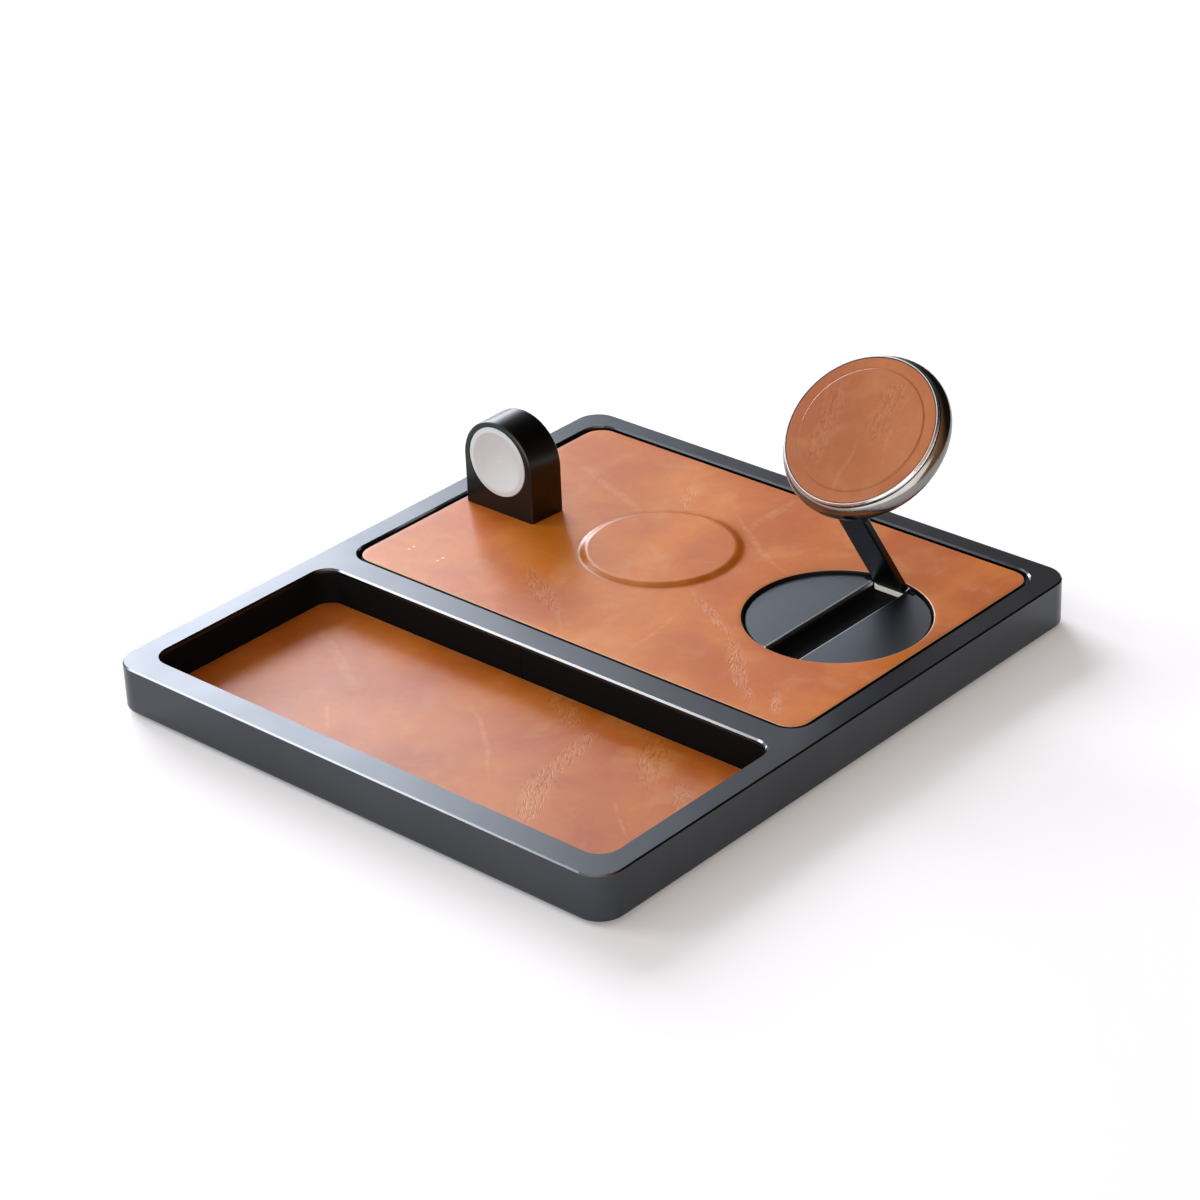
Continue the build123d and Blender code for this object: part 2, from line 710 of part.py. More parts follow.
def disc_magnets():
    pitch = 360 / magnet_count
    half = math.radians((pitch - magnet_gap_degrees) / 2)
    wedge = Polyline((0, 0), (shell_radius * math.cos(half), shell_radius * math.sin(half)),
                     (shell_radius * math.cos(half), -shell_radius * math.sin(half)), close=True)
    block = ring(magnet_outer, magnet_inner, disc_floor, coil_top)
    sector = Pos(0, 0, disc_floor) * extrude(make_face(wedge), coil_top - disc_floor)
    magnet = block & sector
    return group([on_disc(Rot(0, 0, turn * pitch) * magnet) for turn in range(magnet_count)])


def stand_level(z):
    return deck_top + z


def on_puck(shape, depth):
    # From a frame with Z out of the stand's front face, set back by a depth
    return Pos(stand_x, stand_front_y + depth, stand_level(puck_height)) * Rot(90, 0, 0) * shape


def watch_stand():
    front = Pos(stand_x, stand_front_y, deck_top) * Rot(90, 0, 0) * arch(
        stand_front_half_width, stand_height)
    rear = Pos(stand_x, stand_front_y + stand_depth, deck_top) * Rot(90, 0, 0) * arch(
        stand_rear_half_width, stand_height)
    body = loft([front, rear])
    rims = [edge for edge in body.edges() if edge.center().Z > deck_top + stand_edge_round
            and (abs(edge.bounding_box().size.Y) < stand_edge_round)]
    body = fillet(rims, stand_edge_round)
    bore_depth = puck_thickness + puck_case_depth
    body -= on_puck(Cylinder(puck_radius + puck_gap, bore_depth + over, align=BOTTOM_UP), bore_depth)
    body -= disc(stand_duct_radius, deck_top - over, stand_level(puck_height - puck_radius + over),
                 stand_x, stand_middle_y)
    return drill(body, stand_screws, deck_plate_bottom, small_screw(screw_clearance, stand_screw_length))


def watch_puck():
    body = Cylinder(puck_radius, puck_thickness, align=BOTTOM_UP)
    body = fillet(body.edges().sort_by(Axis.Z)[-1], puck_rim_round)
    dish = (puck_dish_radius ** 2 + puck_dish_depth ** 2) / (2 * puck_dish_depth)
    body -= Pos(0, 0, puck_thickness - puck_dish_depth + dish) * Sphere(dish)
    return on_puck(body, puck_thickness)


def puck_case():
    body = Cylinder(puck_radius, puck_case_depth, align=BOTTOM_UP)
    body -= disc(puck_radius - puck_case_wall, puck_case_wall, puck_case_depth + over)
    return on_puck(body, puck_thickness + puck_case_depth)


def puck_coil():
    coil = ring(puck_coil_outer, puck_coil_inner, puck_case_wall, puck_case_wall + puck_coil_thickness)
    return on_puck(coil, puck_thickness + puck_case_depth)


def puck_magnet():
    magnet = disc(puck_magnet_radius, puck_case_wall, puck_case_wall + puck_magnet_thickness)
    return on_puck(magnet, puck_thickness + puck_case_depth)


def light_pipes():
    return group([disc(light_radius, deck_plate_bottom, deck_top, x, y) for x, y in lights])


def light_board():
    middle = light_x + light_pitch / 2
    return slab(middle - light_board_length / 2, middle + light_board_length / 2,
                light_y - light_board_width / 2, light_y + light_board_width / 2,
                deck_plate_bottom - light_board_thickness, deck_plate_bottom)


def main_board():
    half = main_board_width / 2
    body = slab(socket_x - half, socket_x + half, main_board_y0, main_board_y1,
                main_board_bottom, main_board_top)
    body += slab(socket_x - board_tab_width / 2, socket_x + board_tab_width / 2, main_board_y1 - over,
                 tray_depth / 2 - skirt_wall - main_board_gap, main_board_bottom, main_board_top)
    for x, y in board_screws:
        body -= disc(small_shank + screw_clearance, 0, frame_top, x, y)
    return body


def board_screw():
    # Pan screw that goes down into a post
    head = disc(small_head, 0, small_head_height)
    return head + disc(small_shank, -small_length, 0)


def board_parts():
    # Power inductors, controllers and capacitors
    parts = []
    for across, along, width, depth, height in board_part_shares:
        x = socket_x + across * main_board_width
        y = main_board_y0 + along * main_board_depth
        half_x = width * main_board_width / 2
        half_y = depth * main_board_depth / 2
        parts.append(slab(x - half_x, x + half_x, y - half_y, y + half_y, main_board_top,
                          main_board_top + height * main_board_thickness))
    return group(parts)


def usb_c_socket():
    shell = stadium(socket_width, socket_height, socket_y0, socket_y1)
    return shell - stadium(socket_width - 2 * socket_wall, socket_height - 2 * socket_wall,
                           socket_y0 + socket_wall, socket_y1 + over)


def usb_c_tongue():
    inside = socket_y0 + socket_wall
    back = stadium(socket_width - 2 * socket_wall, socket_height - 2 * socket_wall,
                   inside, inside + socket_back)
    half = tongue_width / 2
    blade = slab(socket_x - half, socket_x + half, inside + socket_back / 2, inside + tongue_length,
                 socket_z - tongue_thickness / 2, socket_z + tongue_thickness / 2)
    return back + blade


def ballast_plate():
    body = slab(ballast_x0, ballast_x1, ballast_y0, ballast_y1, cover_top, cover_top + ballast_thickness,
                ballast_corner)
    return drill(body, ballast_screws, cover_bottom, small_screw(screw_clearance))


def lead(points, bend):
    # Round insulated lead along runs joined by arcs
    path = FilletPolyline(*points, radius=bend)
    start = Plane(origin=path @ 0, z_dir=path % 0)
    return sweep(start * Circle(lead_radius), path=path)


def coil_leads():
    # From the edge of the main board to the watch stand, the pad's coil and the arm's cradle
    edge_y = main_board_y0
    z = main_board_bottom + main_board_thickness / 2
    stand_start, pad_start, cradle_start = [socket_x + share * main_board_width for share in lead_x_shares]
    turn_y = main_board_y0 - lead_run_out
    pad_y = row_y + pad_coil_inner
    cradle_y = main_board_y0 - lead_rise_gap
    case_bottom = stand_level(puck_height - puck_radius) - screw_clearance
    routes = [
        [(stand_start, edge_y, z), (stand_start, turn_y, z),
         (stand_x, stand_middle_y + lead_run_in, z), (stand_x, stand_middle_y, z),
         (stand_x, stand_middle_y, case_bottom)],
        [(pad_start, edge_y, z), (pad_start, pad_y, z), (pad_start, pad_y, coil_tray_bottom)],
    ]
    leads = [lead(route, lead_bend) for route in routes]
    cradle_route = [(cradle_start, edge_y, z), (cradle_start, cradle_y, z),
                    (cradle_start, cradle_y, flange_bottom)]
    return group(leads + [lead(cradle_route, lead_bend / 2)])


nodes = {
    "tray_frame": tray_frame(),
    "bottom_cover": bottom_cover(),
    "rubber_feet": rubber_feet(),
    "bottom_cover_screws": seat(cover_screws, cover_bottom, large_screw()),
    "compartment_board": compartment_board(),
    "compartment_leather": compartment_leather(),
    "compartment_liner": compartment_liner(),
    "deck_plate": deck_plate(),
    "deck_leather": deck_leather(),
    "deck_screws": seat(deck_screws, ledge_bottom, small_screw()),
    "pad_riser": pad_riser(),
    "pad_coil": ring(pad_coil_outer, pad_coil_inner, deck_plate_bottom - pad_coil_thickness,
                     deck_plate_bottom, pad_x, row_y),
    "pad_ferrite": disc(pad_coil_outer, pad_ferrite_bottom, pad_ferrite_bottom + ferrite_thickness,
                        pad_x, row_y),
    "coil_tray": coil_tray(),
    "coil_tray_screws": seat(coil_screws, pad_ferrite_bottom, small_screw(length=coil_screw_length)),
    "recess_plate": recess_plate(),
    "slot_cradle": slot_cradle(),
    "cradle_screws": seat(cradle_screws, flange_bottom, small_screw()),
    "foot_pin": foot_pin(),
    "hinge_washers": hinge_washers(),
    "watch_stand": watch_stand(),
    "watch_stand_screws": seat(stand_screws, deck_plate_bottom, small_screw(length=stand_screw_length)),
    "watch_puck": watch_puck(),
    "puck_case": puck_case(),
    "puck_coil": puck_coil(),
    "puck_magnet": puck_magnet(),
    "light_pipes": light_pipes(),
    "light_board": light_board(),
    "main_board": main_board(),
    "board_parts": board_parts(),
    "board_screws": seat(board_screws, main_board_top, board_screw()),
    "usb_c_socket": usb_c_socket(),
    "usb_c_tongue": usb_c_tongue(),
    "coil_leads": coil_leads(),
    "ballast_plate": ballast_plate(),
    "ballast_screws": seat(ballast_screws, cover_bottom, small_screw()),
    "arm": arm(),
    "hinge_barrel": hinge_barrel(),
    "disc_pin": disc_pin(),
    "disc_bracket": disc_bracket(),
    "disc_bracket_screws": group([on_disc(Pos(x, y, disc_back) * small_screw(length=bracket_screw_length))
                                  for x, y in bracket_screws]),
    "disc_shell": disc_shell(),
    "disc_carrier": disc_carrier(),
    "disc_bezel": disc_bezel(),
    "disc_leather": disc_leather(),
    "disc_coil": on_disc(ring(disc_coil_outer, disc_coil_inner, disc_floor + ferrite_thickness, coil_top)),
    "disc_ferrite": on_disc(disc(disc_coil_outer, disc_floor, disc_floor + ferrite_thickness)),
    "disc_magnets": disc_magnets(),
}

os.makedirs("parts", exist_ok=True)
for name, shape in nodes.items():
    export_step(shape, f"parts/{name}.step")
print("foot hinge", recess_x, arm_hinge_y, round(arm_hinge_z, 3))
print("disc hinge", recess_x, round(disc_hinge_y, 3), round(disc_hinge_z, 3))
print("arm length", round(arm_length, 3))
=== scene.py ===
import json
import math
import bmesh
import bpy
from mathutils import Matrix, Vector, geometry, noise


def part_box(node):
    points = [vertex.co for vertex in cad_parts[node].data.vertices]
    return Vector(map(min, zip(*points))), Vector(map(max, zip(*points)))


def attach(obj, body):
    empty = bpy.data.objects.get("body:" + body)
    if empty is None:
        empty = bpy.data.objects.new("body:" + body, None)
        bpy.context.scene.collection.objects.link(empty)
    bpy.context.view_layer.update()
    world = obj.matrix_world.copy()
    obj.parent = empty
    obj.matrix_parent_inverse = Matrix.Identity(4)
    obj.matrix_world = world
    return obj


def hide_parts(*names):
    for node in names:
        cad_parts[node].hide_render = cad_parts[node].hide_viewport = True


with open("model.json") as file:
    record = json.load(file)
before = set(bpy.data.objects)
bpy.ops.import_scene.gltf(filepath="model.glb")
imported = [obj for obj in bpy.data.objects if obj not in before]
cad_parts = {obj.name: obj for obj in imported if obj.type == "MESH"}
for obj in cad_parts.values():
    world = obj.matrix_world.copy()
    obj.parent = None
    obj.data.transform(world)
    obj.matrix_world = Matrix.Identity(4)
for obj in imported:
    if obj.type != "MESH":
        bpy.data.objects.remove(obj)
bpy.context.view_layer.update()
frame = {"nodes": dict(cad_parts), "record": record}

# Looks of a desk charging tray: anodised frame, leather compartment and deck, watch stand, and
# a phone disc on a folding arm. Metres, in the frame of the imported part: X along the front
# edge, Y to the rear, Z up from the surface that the feet stand on.
MM = 0.001

# Camera
# A long lens at the front right, looking down at 28 degrees. Its place and turn come from the
# straight rims and the circles of the deck.
camera_data = bpy.data.cameras.new("camera")
camera_data.lens = 104.1
camera = bpy.data.objects.new("camera", camera_data)
camera.location = (0.7067, -0.7715, 0.5924)
camera.rotation_euler = [math.radians(turn) for turn in (61.526, 2.076, 41.310)]
bpy.context.scene.collection.objects.link(camera)
bpy.context.scene.camera = camera


# Tray frame
# One block of aluminium, machined to a rim with two openings, blasted with fine beads and
# anodised dark grey. Everything else is fastened to it.
def linear(code):
    """Linear RGBA of an sRGB hex colour."""
    channels = [int(code[place:place + 2], 16) / 255 for place in (1, 3, 5)]
    return [c / 12.92 if c <= 0.04045 else ((c + 0.055) / 1.055) ** 2.4 for c in channels] + [1]


def add(tree, kind, sockets=(), **settings):
    """One node, with its settings, values and links."""
    node = tree.nodes.new("ShaderNode" + kind)
    for name, value in settings.items():
        setattr(node, name, value)
    for name, value in dict(sockets).items():
        if isinstance(value, bpy.types.NodeSocket):
            tree.links.new(value, node.inputs[name])
        else:
            node.inputs[name].default_value = value
    return node


def new_finish(name, **sockets):
    """A material with one principled shader. Gives the material, its tree, shader and place in mm."""
    material = bpy.data.materials.new(name)
    material.use_nodes = True
    tree = material.node_tree
    shader = tree.nodes["Principled BSDF"]
    for socket, value in sockets.items():
        shader.inputs[socket.replace("_", " ")].default_value = value
    object_place = add(tree, "TexCoord").outputs["Object"]
    place = add(tree, "Mapping", {"Vector": object_place, "Scale": (1 / MM,) * 3}).outputs["Vector"]
    return material, tree, shader, place


def dress(names, material):
    """Give CAD nodes their finish."""
    for name in names:
        for slot in frame["nodes"][name].material_slots:
            slot.material = material


def anodised(name, colour, worn, roughness, cut=None, bead=0.35, slot=None):
    """Blasted and anodised aluminium: dark, satin, a little uneven, with a fine bead grain."""
    material, tree, shader, place = new_finish(name, Metallic=1.0)
    # Dye takes unevenly over about 60 mm, and hands leave faint smears of about 20 mm
    dye = add(tree, "TexNoise", {"Vector": place, "Scale": 1 / 60, "Detail": 3.0}).outputs["Fac"]
    smear = add(tree, "TexNoise", {"Vector": place, "Scale": 1 / 20, "Detail": 2.0}).outputs["Fac"]
    tint = add(tree, "MapRange", {"Value": dye, "From Min": 0.35, "From Max": 0.65}).outputs["Result"]
    paint = add(tree, "MixRGB", {"Fac": tint, "Color1": linear(colour), "Color2": linear(worn)})
    rough = add(tree, "MapRange", {"Value": smear, "From Min": 0.3, "From Max": 0.7,
                                   "To Min": roughness - 0.02, "To Max": roughness + 0.02})
    paint_out = paint.outputs["Color"]
    rough_out = rough.outputs["Result"]
    if cut:
        # Chamfers are cut after blasting, so they are brighter and smoother than the faces
        facing = add(tree, "NewGeometry").outputs["True Normal"]
        upward = add(tree, "SeparateXYZ", {"Vector": facing}).outputs["Z"]
        off = add(tree, "Math", {0: upward, 1: math.sqrt(0.5)}, operation="SUBTRACT").outputs["Value"]
        away = add(tree, "Math", {0: off}, operation="ABSOLUTE").outputs["Value"]
        bright = add(tree, "MapRange", {"Value": away, "From Min": 0.02, "From Max": 0.06,
                                        "To Min": 1.0, "To Max": 0.0}).outputs["Result"]
        # From 50 mm rearward, chamfers facing the front keep the dull colour of the faces, so that edge
        # stays dark
        dulled_from = 50.0
        facing_y = add(tree, "SeparateXYZ", {"Vector": facing}).outputs["Y"]
        place_y = add(tree, "SeparateXYZ", {"Vector": place}).outputs["Y"]
        facing_front = add(tree, "Math", {0: facing_y, 1: -0.6}, operation="LESS_THAN").outputs["Value"]
        dulled = add(tree, "Math", {0: place_y, 1: dulled_from}, operation="GREATER_THAN").outputs["Value"]
        dulled = add(tree, "Math", {0: dulled, 1: facing_front}, operation="MULTIPLY").outputs["Value"]
        bright = add(tree, "Math", {0: bright, 1: dulled}, operation="SUBTRACT").outputs["Value"]
        paint_out = add(tree, "MixRGB", {"Fac": bright, "Color1": paint_out,
                                         "Color2": linear(cut)}).outputs["Color"]
        rough_out = add(tree, "MapRange", {"Value": bright, "To Min": rough_out,
                                           "To Max": 0.16}).outputs["Result"]
    if slot:
        # A thin bright line along each long edge of the slot is a painted highlight, the glint of light on
        # those edges. It is drawn twice as wide as a 0.3 mm chamfer so that it shows
        glint_width = 0.6
        middle, half_width = slot
        place_x = add(tree, "SeparateXYZ", {"Vector": place}).outputs["X"]
        across = add(tree, "Math", {0: place_x, 1: middle}, operation="SUBTRACT").outputs["Value"]
        out = add(tree, "Math", {0: across}, operation="ABSOLUTE").outputs["Value"]
        edge = half_width + glint_width
        line = add(tree, "MapRange", {"Value": out, "From Min": edge, "From Max": edge + 0.1,
                                      "To Min": 1.0, "To Max": 0.0}).outputs["Result"]
        paint_out = add(tree, "MixRGB", {"Fac": line, "Color1": paint_out,
                                         "Color2": linear("#B4B7BA")}).outputs["Color"]
    # The beads leave dimples of 0.1 mm, drawn at three times that so that they show
    grain = add(tree, "TexNoise", {"Vector": place, "Scale": 1 / bead, "Detail": 2.0}).outputs["Fac"]
    bump = add(tree, "Bump", {"Height": grain, "Strength": 0.12, "Distance": 0.02 * MM})
    tree.links.new(paint_out, shader.inputs["Base Color"])
    tree.links.new(rough_out, shader.inputs["Roughness"])
    tree.links.new(bump.outputs["Normal"], shader.inputs["Normal"])
    return material


dress(["tray_frame"], anodised("anodised_tray", "#46494D", "#4B4E52", 0.30, cut="#76787B"))


# Bottom cover, feet and their screws
# A moulded ABS plate closes the tray from below. Eight zinc-plated screws hold it, and four
# rubber feet are glued into round seats.
def moulded(name, colour, roughness, texture=0.5, strength=0.35, gloss=0.5):
    """Moulded plastic or rubber with the spark-eroded texture of its mould."""
    material, tree, shader, place = new_finish(name, IOR=1.5, Specular_IOR_Level=gloss)
    pits = add(tree, "TexVoronoi", {"Vector": place, "Scale": 1 / texture}).outputs["Distance"]
    flow = add(tree, "TexNoise", {"Vector": place, "Scale": 1 / 25, "Detail": 3.0}).outputs["Fac"]
    shade = add(tree, "MapRange", {"Value": flow, "From Min": 0.3, "From Max": 0.7,
                                   "To Min": 0.88, "To Max": 1.12}).outputs["Result"]
    paint = add(tree, "MixRGB", {"Fac": 1.0, "Color1": linear(colour), "Color2": shade},
                blend_type="MULTIPLY")
    rough = add(tree, "MapRange", {"Value": flow, "From Min": 0.3, "From Max": 0.7,
                                   "To Min": roughness - 0.05, "To Max": roughness + 0.05})
    bump = add(tree, "Bump", {"Height": pits, "Strength": strength, "Distance": 0.05 * MM})
    tree.links.new(paint.outputs["Color"], shader.inputs["Base Color"])
    tree.links.new(rough.outputs["Result"], shader.inputs["Roughness"])
    tree.links.new(bump.outputs["Normal"], shader.inputs["Normal"])
    return material


def bare_metal(name, colour, roughness, scratch=0.4, stretch=(1, 1, 1), strength=0.15):
    """Ground, plated or drawn metal with fine tool marks, stretched the way that it was worked."""
    material, tree, shader, place = new_finish(name, Metallic=1.0)
    drawn = add(tree, "Mapping", {"Vector": place, "Scale": stretch}).outputs["Vector"]
    marks = add(tree, "TexNoise", {"Vector": drawn, "Scale": 1 / scratch, "Detail": 4.0}).outputs["Fac"]
    film = add(tree, "TexNoise", {"Vector": place, "Scale": 1 / 6, "Detail": 3.0}).outputs["Fac"]
    shade = add(tree, "MapRange", {"Value": film, "From Min": 0.3, "From Max": 0.7,
                                   "To Min": 0.9, "To Max": 1.06}).outputs["Result"]
    paint = add(tree, "MixRGB", {"Fac": 1.0, "Color1": linear(colour), "Color2": shade},
                blend_type="MULTIPLY")
    rough = add(tree, "MapRange", {"Value": marks, "From Min": 0.3, "From Max": 0.7,
                                   "To Min": roughness * 0.8, "To Max": roughness * 1.2})
    bump = add(tree, "Bump", {"Height": marks, "Strength": strength, "Distance": 0.01 * MM})
    tree.links.new(paint.outputs["Color"], shader.inputs["Base Color"])
    tree.links.new(rough.outputs["Result"], shader.inputs["Roughness"])
    tree.links.new(bump.outputs["Normal"], shader.inputs["Normal"])
    return material


dress(["bottom_cover"], moulded("moulded_black_abs", "#1C1C1D", 0.55))
dress(["rubber_feet"], moulded("moulded_foot_rubber", "#161616", 0.8, texture=0.8, gloss=0.3))
zinc_screw = bare_metal("zinc_plated_screw", "#A9ABAE", 0.28)
dress(["bottom_cover_screws", "deck_screws", "coil_tray_screws", "cradle_screws", "board_screws",
       "watch_stand_screws", "ballast_screws", "disc_bracket_screws"], zinc_screw)


# Compartment floor
# Waxed full-grain leather, glued to a board of pressed fibre, with its cut edge rounded; the rounding
# has a pale painted highlight, and the cut a painted shade. Wax and handling cloud the tan, and pulled
# places show paler.
def strokes(tree, place, marks, sharpness):
    """How far a place lies in long marks, from 0 to 1. Each is x, y, turn, length and width in mm."""
    share = 0.0
    for x, y, turn, length, width in marks:
        local = add(tree, "Mapping", {"Vector": place, "Location": (x, y, 0),
                                      "Rotation": (0, 0, math.radians(turn)),
                                      "Scale": (length / 2, width / 2, 1000)},
                    vector_type="TEXTURE").outputs["Vector"]
        here = add(tree, "TexGradient", {"Vector": local}, gradient_type="SPHERICAL").outputs["Fac"]
        share = add(tree, "Math", {0: share, 1: here}, operation="MAXIMUM").outputs["Value"]
    return add(tree, "MapRange", {"Value": share, "From Max": sharpness},
               interpolation_type="SMOOTHSTEP").outputs["Result"]


def waxed_leather(name, deep, tan, pale, edge, seed, folds, pulls, ring, grain=-58):
    """Waxed leather: clouded, with folds full of fine creases, pale pulled lines and small pores."""
    material, tree, shader, place = new_finish(name, IOR=1.45, Specular_IOR_Level=0.42)
    # Wax clouds the tan over about 45 mm, and wears pale in flecks of about 3 mm
    cloud = add(tree, "TexNoise", {"Vector": place, "W": seed, "Scale": 1 / 45, "Detail": 4.0,
                                   "Distortion": 0.5}, noise_dimensions="4D").outputs["Fac"]
    pulled = add(tree, "TexNoise", {"Vector": place, "W": seed + 3, "Scale": 1 / 16, "Detail": 5.0,
                                    "Distortion": 0.8}, noise_dimensions="4D").outputs["Fac"]
    fleck = add(tree, "TexNoise", {"Vector": place, "W": seed + 7, "Scale": 1 / 3, "Detail": 5.0,
                                   "Roughness": 0.6}, noise_dimensions="4D").outputs["Fac"]
    depth = add(tree, "MapRange", {"Value": cloud, "From Min": 0.38, "From Max": 0.62}).outputs["Result"]
    body = add(tree, "MixRGB", {"Fac": depth, "Color1": linear(deep), "Color2": linear(tan)})
    pull = add(tree, "MapRange", {"Value": pulled, "From Min": 0.48, "From Max": 0.75,
                                  "To Max": 0.2}, interpolation_type="SMOOTHSTEP").outputs["Result"]
    mottled = add(tree, "MixRGB", {"Fac": pull, "Color1": body.outputs["Color"],
                                   "Color2": linear(pale)})
    speck = add(tree, "MapRange", {"Value": fleck, "From Min": 0.3, "From Max": 0.7,
                                   "To Min": 0.96, "To Max": 1.04}).outputs["Result"]
    flecked = add(tree, "MixRGB", {"Fac": 1.0, "Color1": mottled.outputs["Color"], "Color2": speck},
                  blend_type="MULTIPLY")
    # Folds and pulled lines wander by a few millimetres
    sway = add(tree, "TexNoise", {"Vector": place, "W": seed, "Scale": 1 / 26, "Detail": 2.0},
               noise_dimensions="4D").outputs["Color"]
    centred = add(tree, "VectorMath", {0: sway, 1: (0.5, 0.5, 0.5)}, operation="SUBTRACT")
    shift = add(tree, "VectorMath", {0: centred.outputs["Vector"], "Scale": 10.0},
                operation="SCALE").outputs["Vector"]
    bent = add(tree, "VectorMath", {0: place, 1: shift}, operation="ADD").outputs["Vector"]
    band = strokes(tree, bent, folds, 0.6)
    line = strokes(tree, bent, pulls, 0.5)
    # Creases run along the folds, about 1 mm apart, deep in a fold and faint elsewhere
    drawn = add(tree, "Mapping", {"Vector": bent, "Scale": (3.5, 1, 1),
                                  "Rotation": (0, 0, math.radians(grain))},
                vector_type="TEXTURE").outputs["Vector"]
    strand = add(tree, "TexNoise", {"Vector": drawn, "Scale": 1 / 1.6, "Detail": 2.0,
                                    "Distortion": 0.4}).outputs["Fac"]
    off_line = add(tree, "Math", {0: strand, 1: 0.5}, operation="SUBTRACT").outputs["Value"]
    from_line = add(tree, "Math", {0: off_line}, operation="ABSOLUTE").outputs["Value"]
    ridge = add(tree, "MapRange", {"Value": from_line, "From Min": 0.0, "From Max": 0.07},
                interpolation_type="SMOOTHSTEP").outputs["Result"]
    crease = add(tree, "Math", {0: ridge, 1: 1.0}, operation="SUBTRACT").outputs["Value"]
    patchy = add(tree, "Math", {0: band, 1: fleck, 2: band}, operation="MULTIPLY_ADD").outputs["Value"]
    depth_here = add(tree, "MapRange", {"Value": patchy, "To Min": 0.1, "To Max": 0.9}).outputs["Result"]
    cut_in = add(tree, "Math", {0: crease, 1: depth_here}, operation="MULTIPLY").outputs["Value"]
    # Creases are painted darker, a painted shade in each crease
    crease_shade = add(tree, "MapRange", {"Value": cut_in, "From Min": -1.0, "From Max": 0.0,
                                    "To Min": 0.84, "To Max": 1.0}).outputs["Result"]
    crease_shaded = add(tree, "MixRGB", {"Fac": 1.0, "Color1": flecked.outputs["Color"], "Color2": crease_shade},
                blend_type="MULTIPLY")
    # Along pulled lines the skin is stretched and paler, and between creases it is painted paler, a painted
    # highlight on the ridges of a fold
    top = add(tree, "Math", {0: ridge, 1: band}, operation="MULTIPLY").outputs["Value"]
    stretched = add(tree, "Math", {0: line, 1: top}, operation="MAXIMUM").outputs["Value"]
    worn = add(tree, "MapRange", {"Value": fleck, "From Min": 0.4, "From Max": 0.6,
                                  "To Min": 0.05, "To Max": 0.22}).outputs["Result"]
    pale_and_highlight = add(tree, "Math", {0: stretched, 1: worn}, operation="MULTIPLY").outputs["Value"]
    paled_and_highlit = add(tree, "MixRGB", {"Fac": pale_and_highlight, "Color1": crease_shaded.outputs["Color"],
                                   "Color2": linear(pale)})
    # Pressing the ring made it glossier, and it is painted darker, a painted shade for its step: x, y,
    # radius and width in mm
    x, y, radius, width = ring
    flat = add(tree, "VectorMath", {0: place, 1: (1, 1, 0)}, operation="MULTIPLY").outputs["Vector"]
    out = add(tree, "VectorMath", {0: flat, 1: (x, y, 0)}, operation="DISTANCE").outputs["Value"]
    off_ring = add(tree, "Math", {0: out, 1: radius}, operation="SUBTRACT").outputs["Value"]
    from_ring = add(tree, "Math", {0: off_ring}, operation="ABSOLUTE").outputs["Value"]
    pressed = add(tree, "MapRange", {"Value": from_ring, "From Max": width / 2, "To Min": 1.0,
                                     "To Max": 0.0}, interpolation_type="SMOOTHSTEP").outputs["Result"]
    ring_shade = add(tree, "MapRange", {"Value": pressed, "To Min": 1.0, "To Max": 0.8}).outputs["Result"]
    ring_shaded = add(tree, "MixRGB", {"Fac": 1.0, "Color1": paled_and_highlit.outputs["Color"], "Color2": ring_shade},
                    blend_type="MULTIPLY")
    # The top of the rounding takes the edge colour: a pale painted highlight on the floor and deck, and a
    # darker brown on the disc. The cut below it is painted near black, a painted shade in the gap beside it
    rim = add(tree, "Attribute", attribute_name="rim").outputs["Fac"]
    edge_tint_share = add(tree, "MapRange", {"Value": rim, "From Min": 0.02, "From Max": 0.25,
                                    "To Max": 0.8}).outputs["Result"]
    edge_tinted = add(tree, "MixRGB", {"Fac": edge_tint_share, "Color1": ring_shaded.outputs["Color"],
                                       "Color2": linear(edge)})
    cut_shade_share = add(tree, "MapRange", {"Value": rim, "From Min": 0.5, "From Max": 0.8}).outputs["Result"]
    paint = add(tree, "MixRGB", {"Fac": cut_shade_share, "Color1": edge_tinted.outputs["Color"],
                                 "Color2": linear("#1C0E08")})
    # Pores are 0.15 mm, drawn at 0.5 mm apart so that they show
    pore = add(tree, "TexVoronoi", {"Vector": bent, "Scale": 1 / 0.5}).outputs["Distance"]
    pit = add(tree, "MapRange", {"Value": pore, "From Min": 0.0, "From Max": 0.35,
                                 "To Max": 0.25}).outputs["Result"]
    relief = add(tree, "Math", {0: cut_in, 1: pit}, operation="ADD").outputs["Value"]
    height = add(tree, "Math", {0: fleck, 1: 0.6, 2: relief}, operation="MULTIPLY_ADD").outputs["Value"]
    bump = add(tree, "Bump", {"Height": height, "Strength": 0.4, "Distance": 0.1 * MM})
    matt = add(tree, "MapRange", {"Value": pulled, "From Min": 0.3, "From Max": 0.7,
                                  "To Min": 0.36, "To Max": 0.43}).outputs["Result"]
    rough = add(tree, "MapRange", {"Value": pressed, "To Min": matt, "To Max": 0.27})
    tree.links.new(paint.outputs["Color"], shader.inputs["Base Color"])
    tree.links.new(rough.outputs["Result"], shader.inputs["Roughness"])
    tree.links.new(bump.outputs["Normal"], shader.inputs["Normal"])
    return material


corner_steps = 12
round_steps = 5


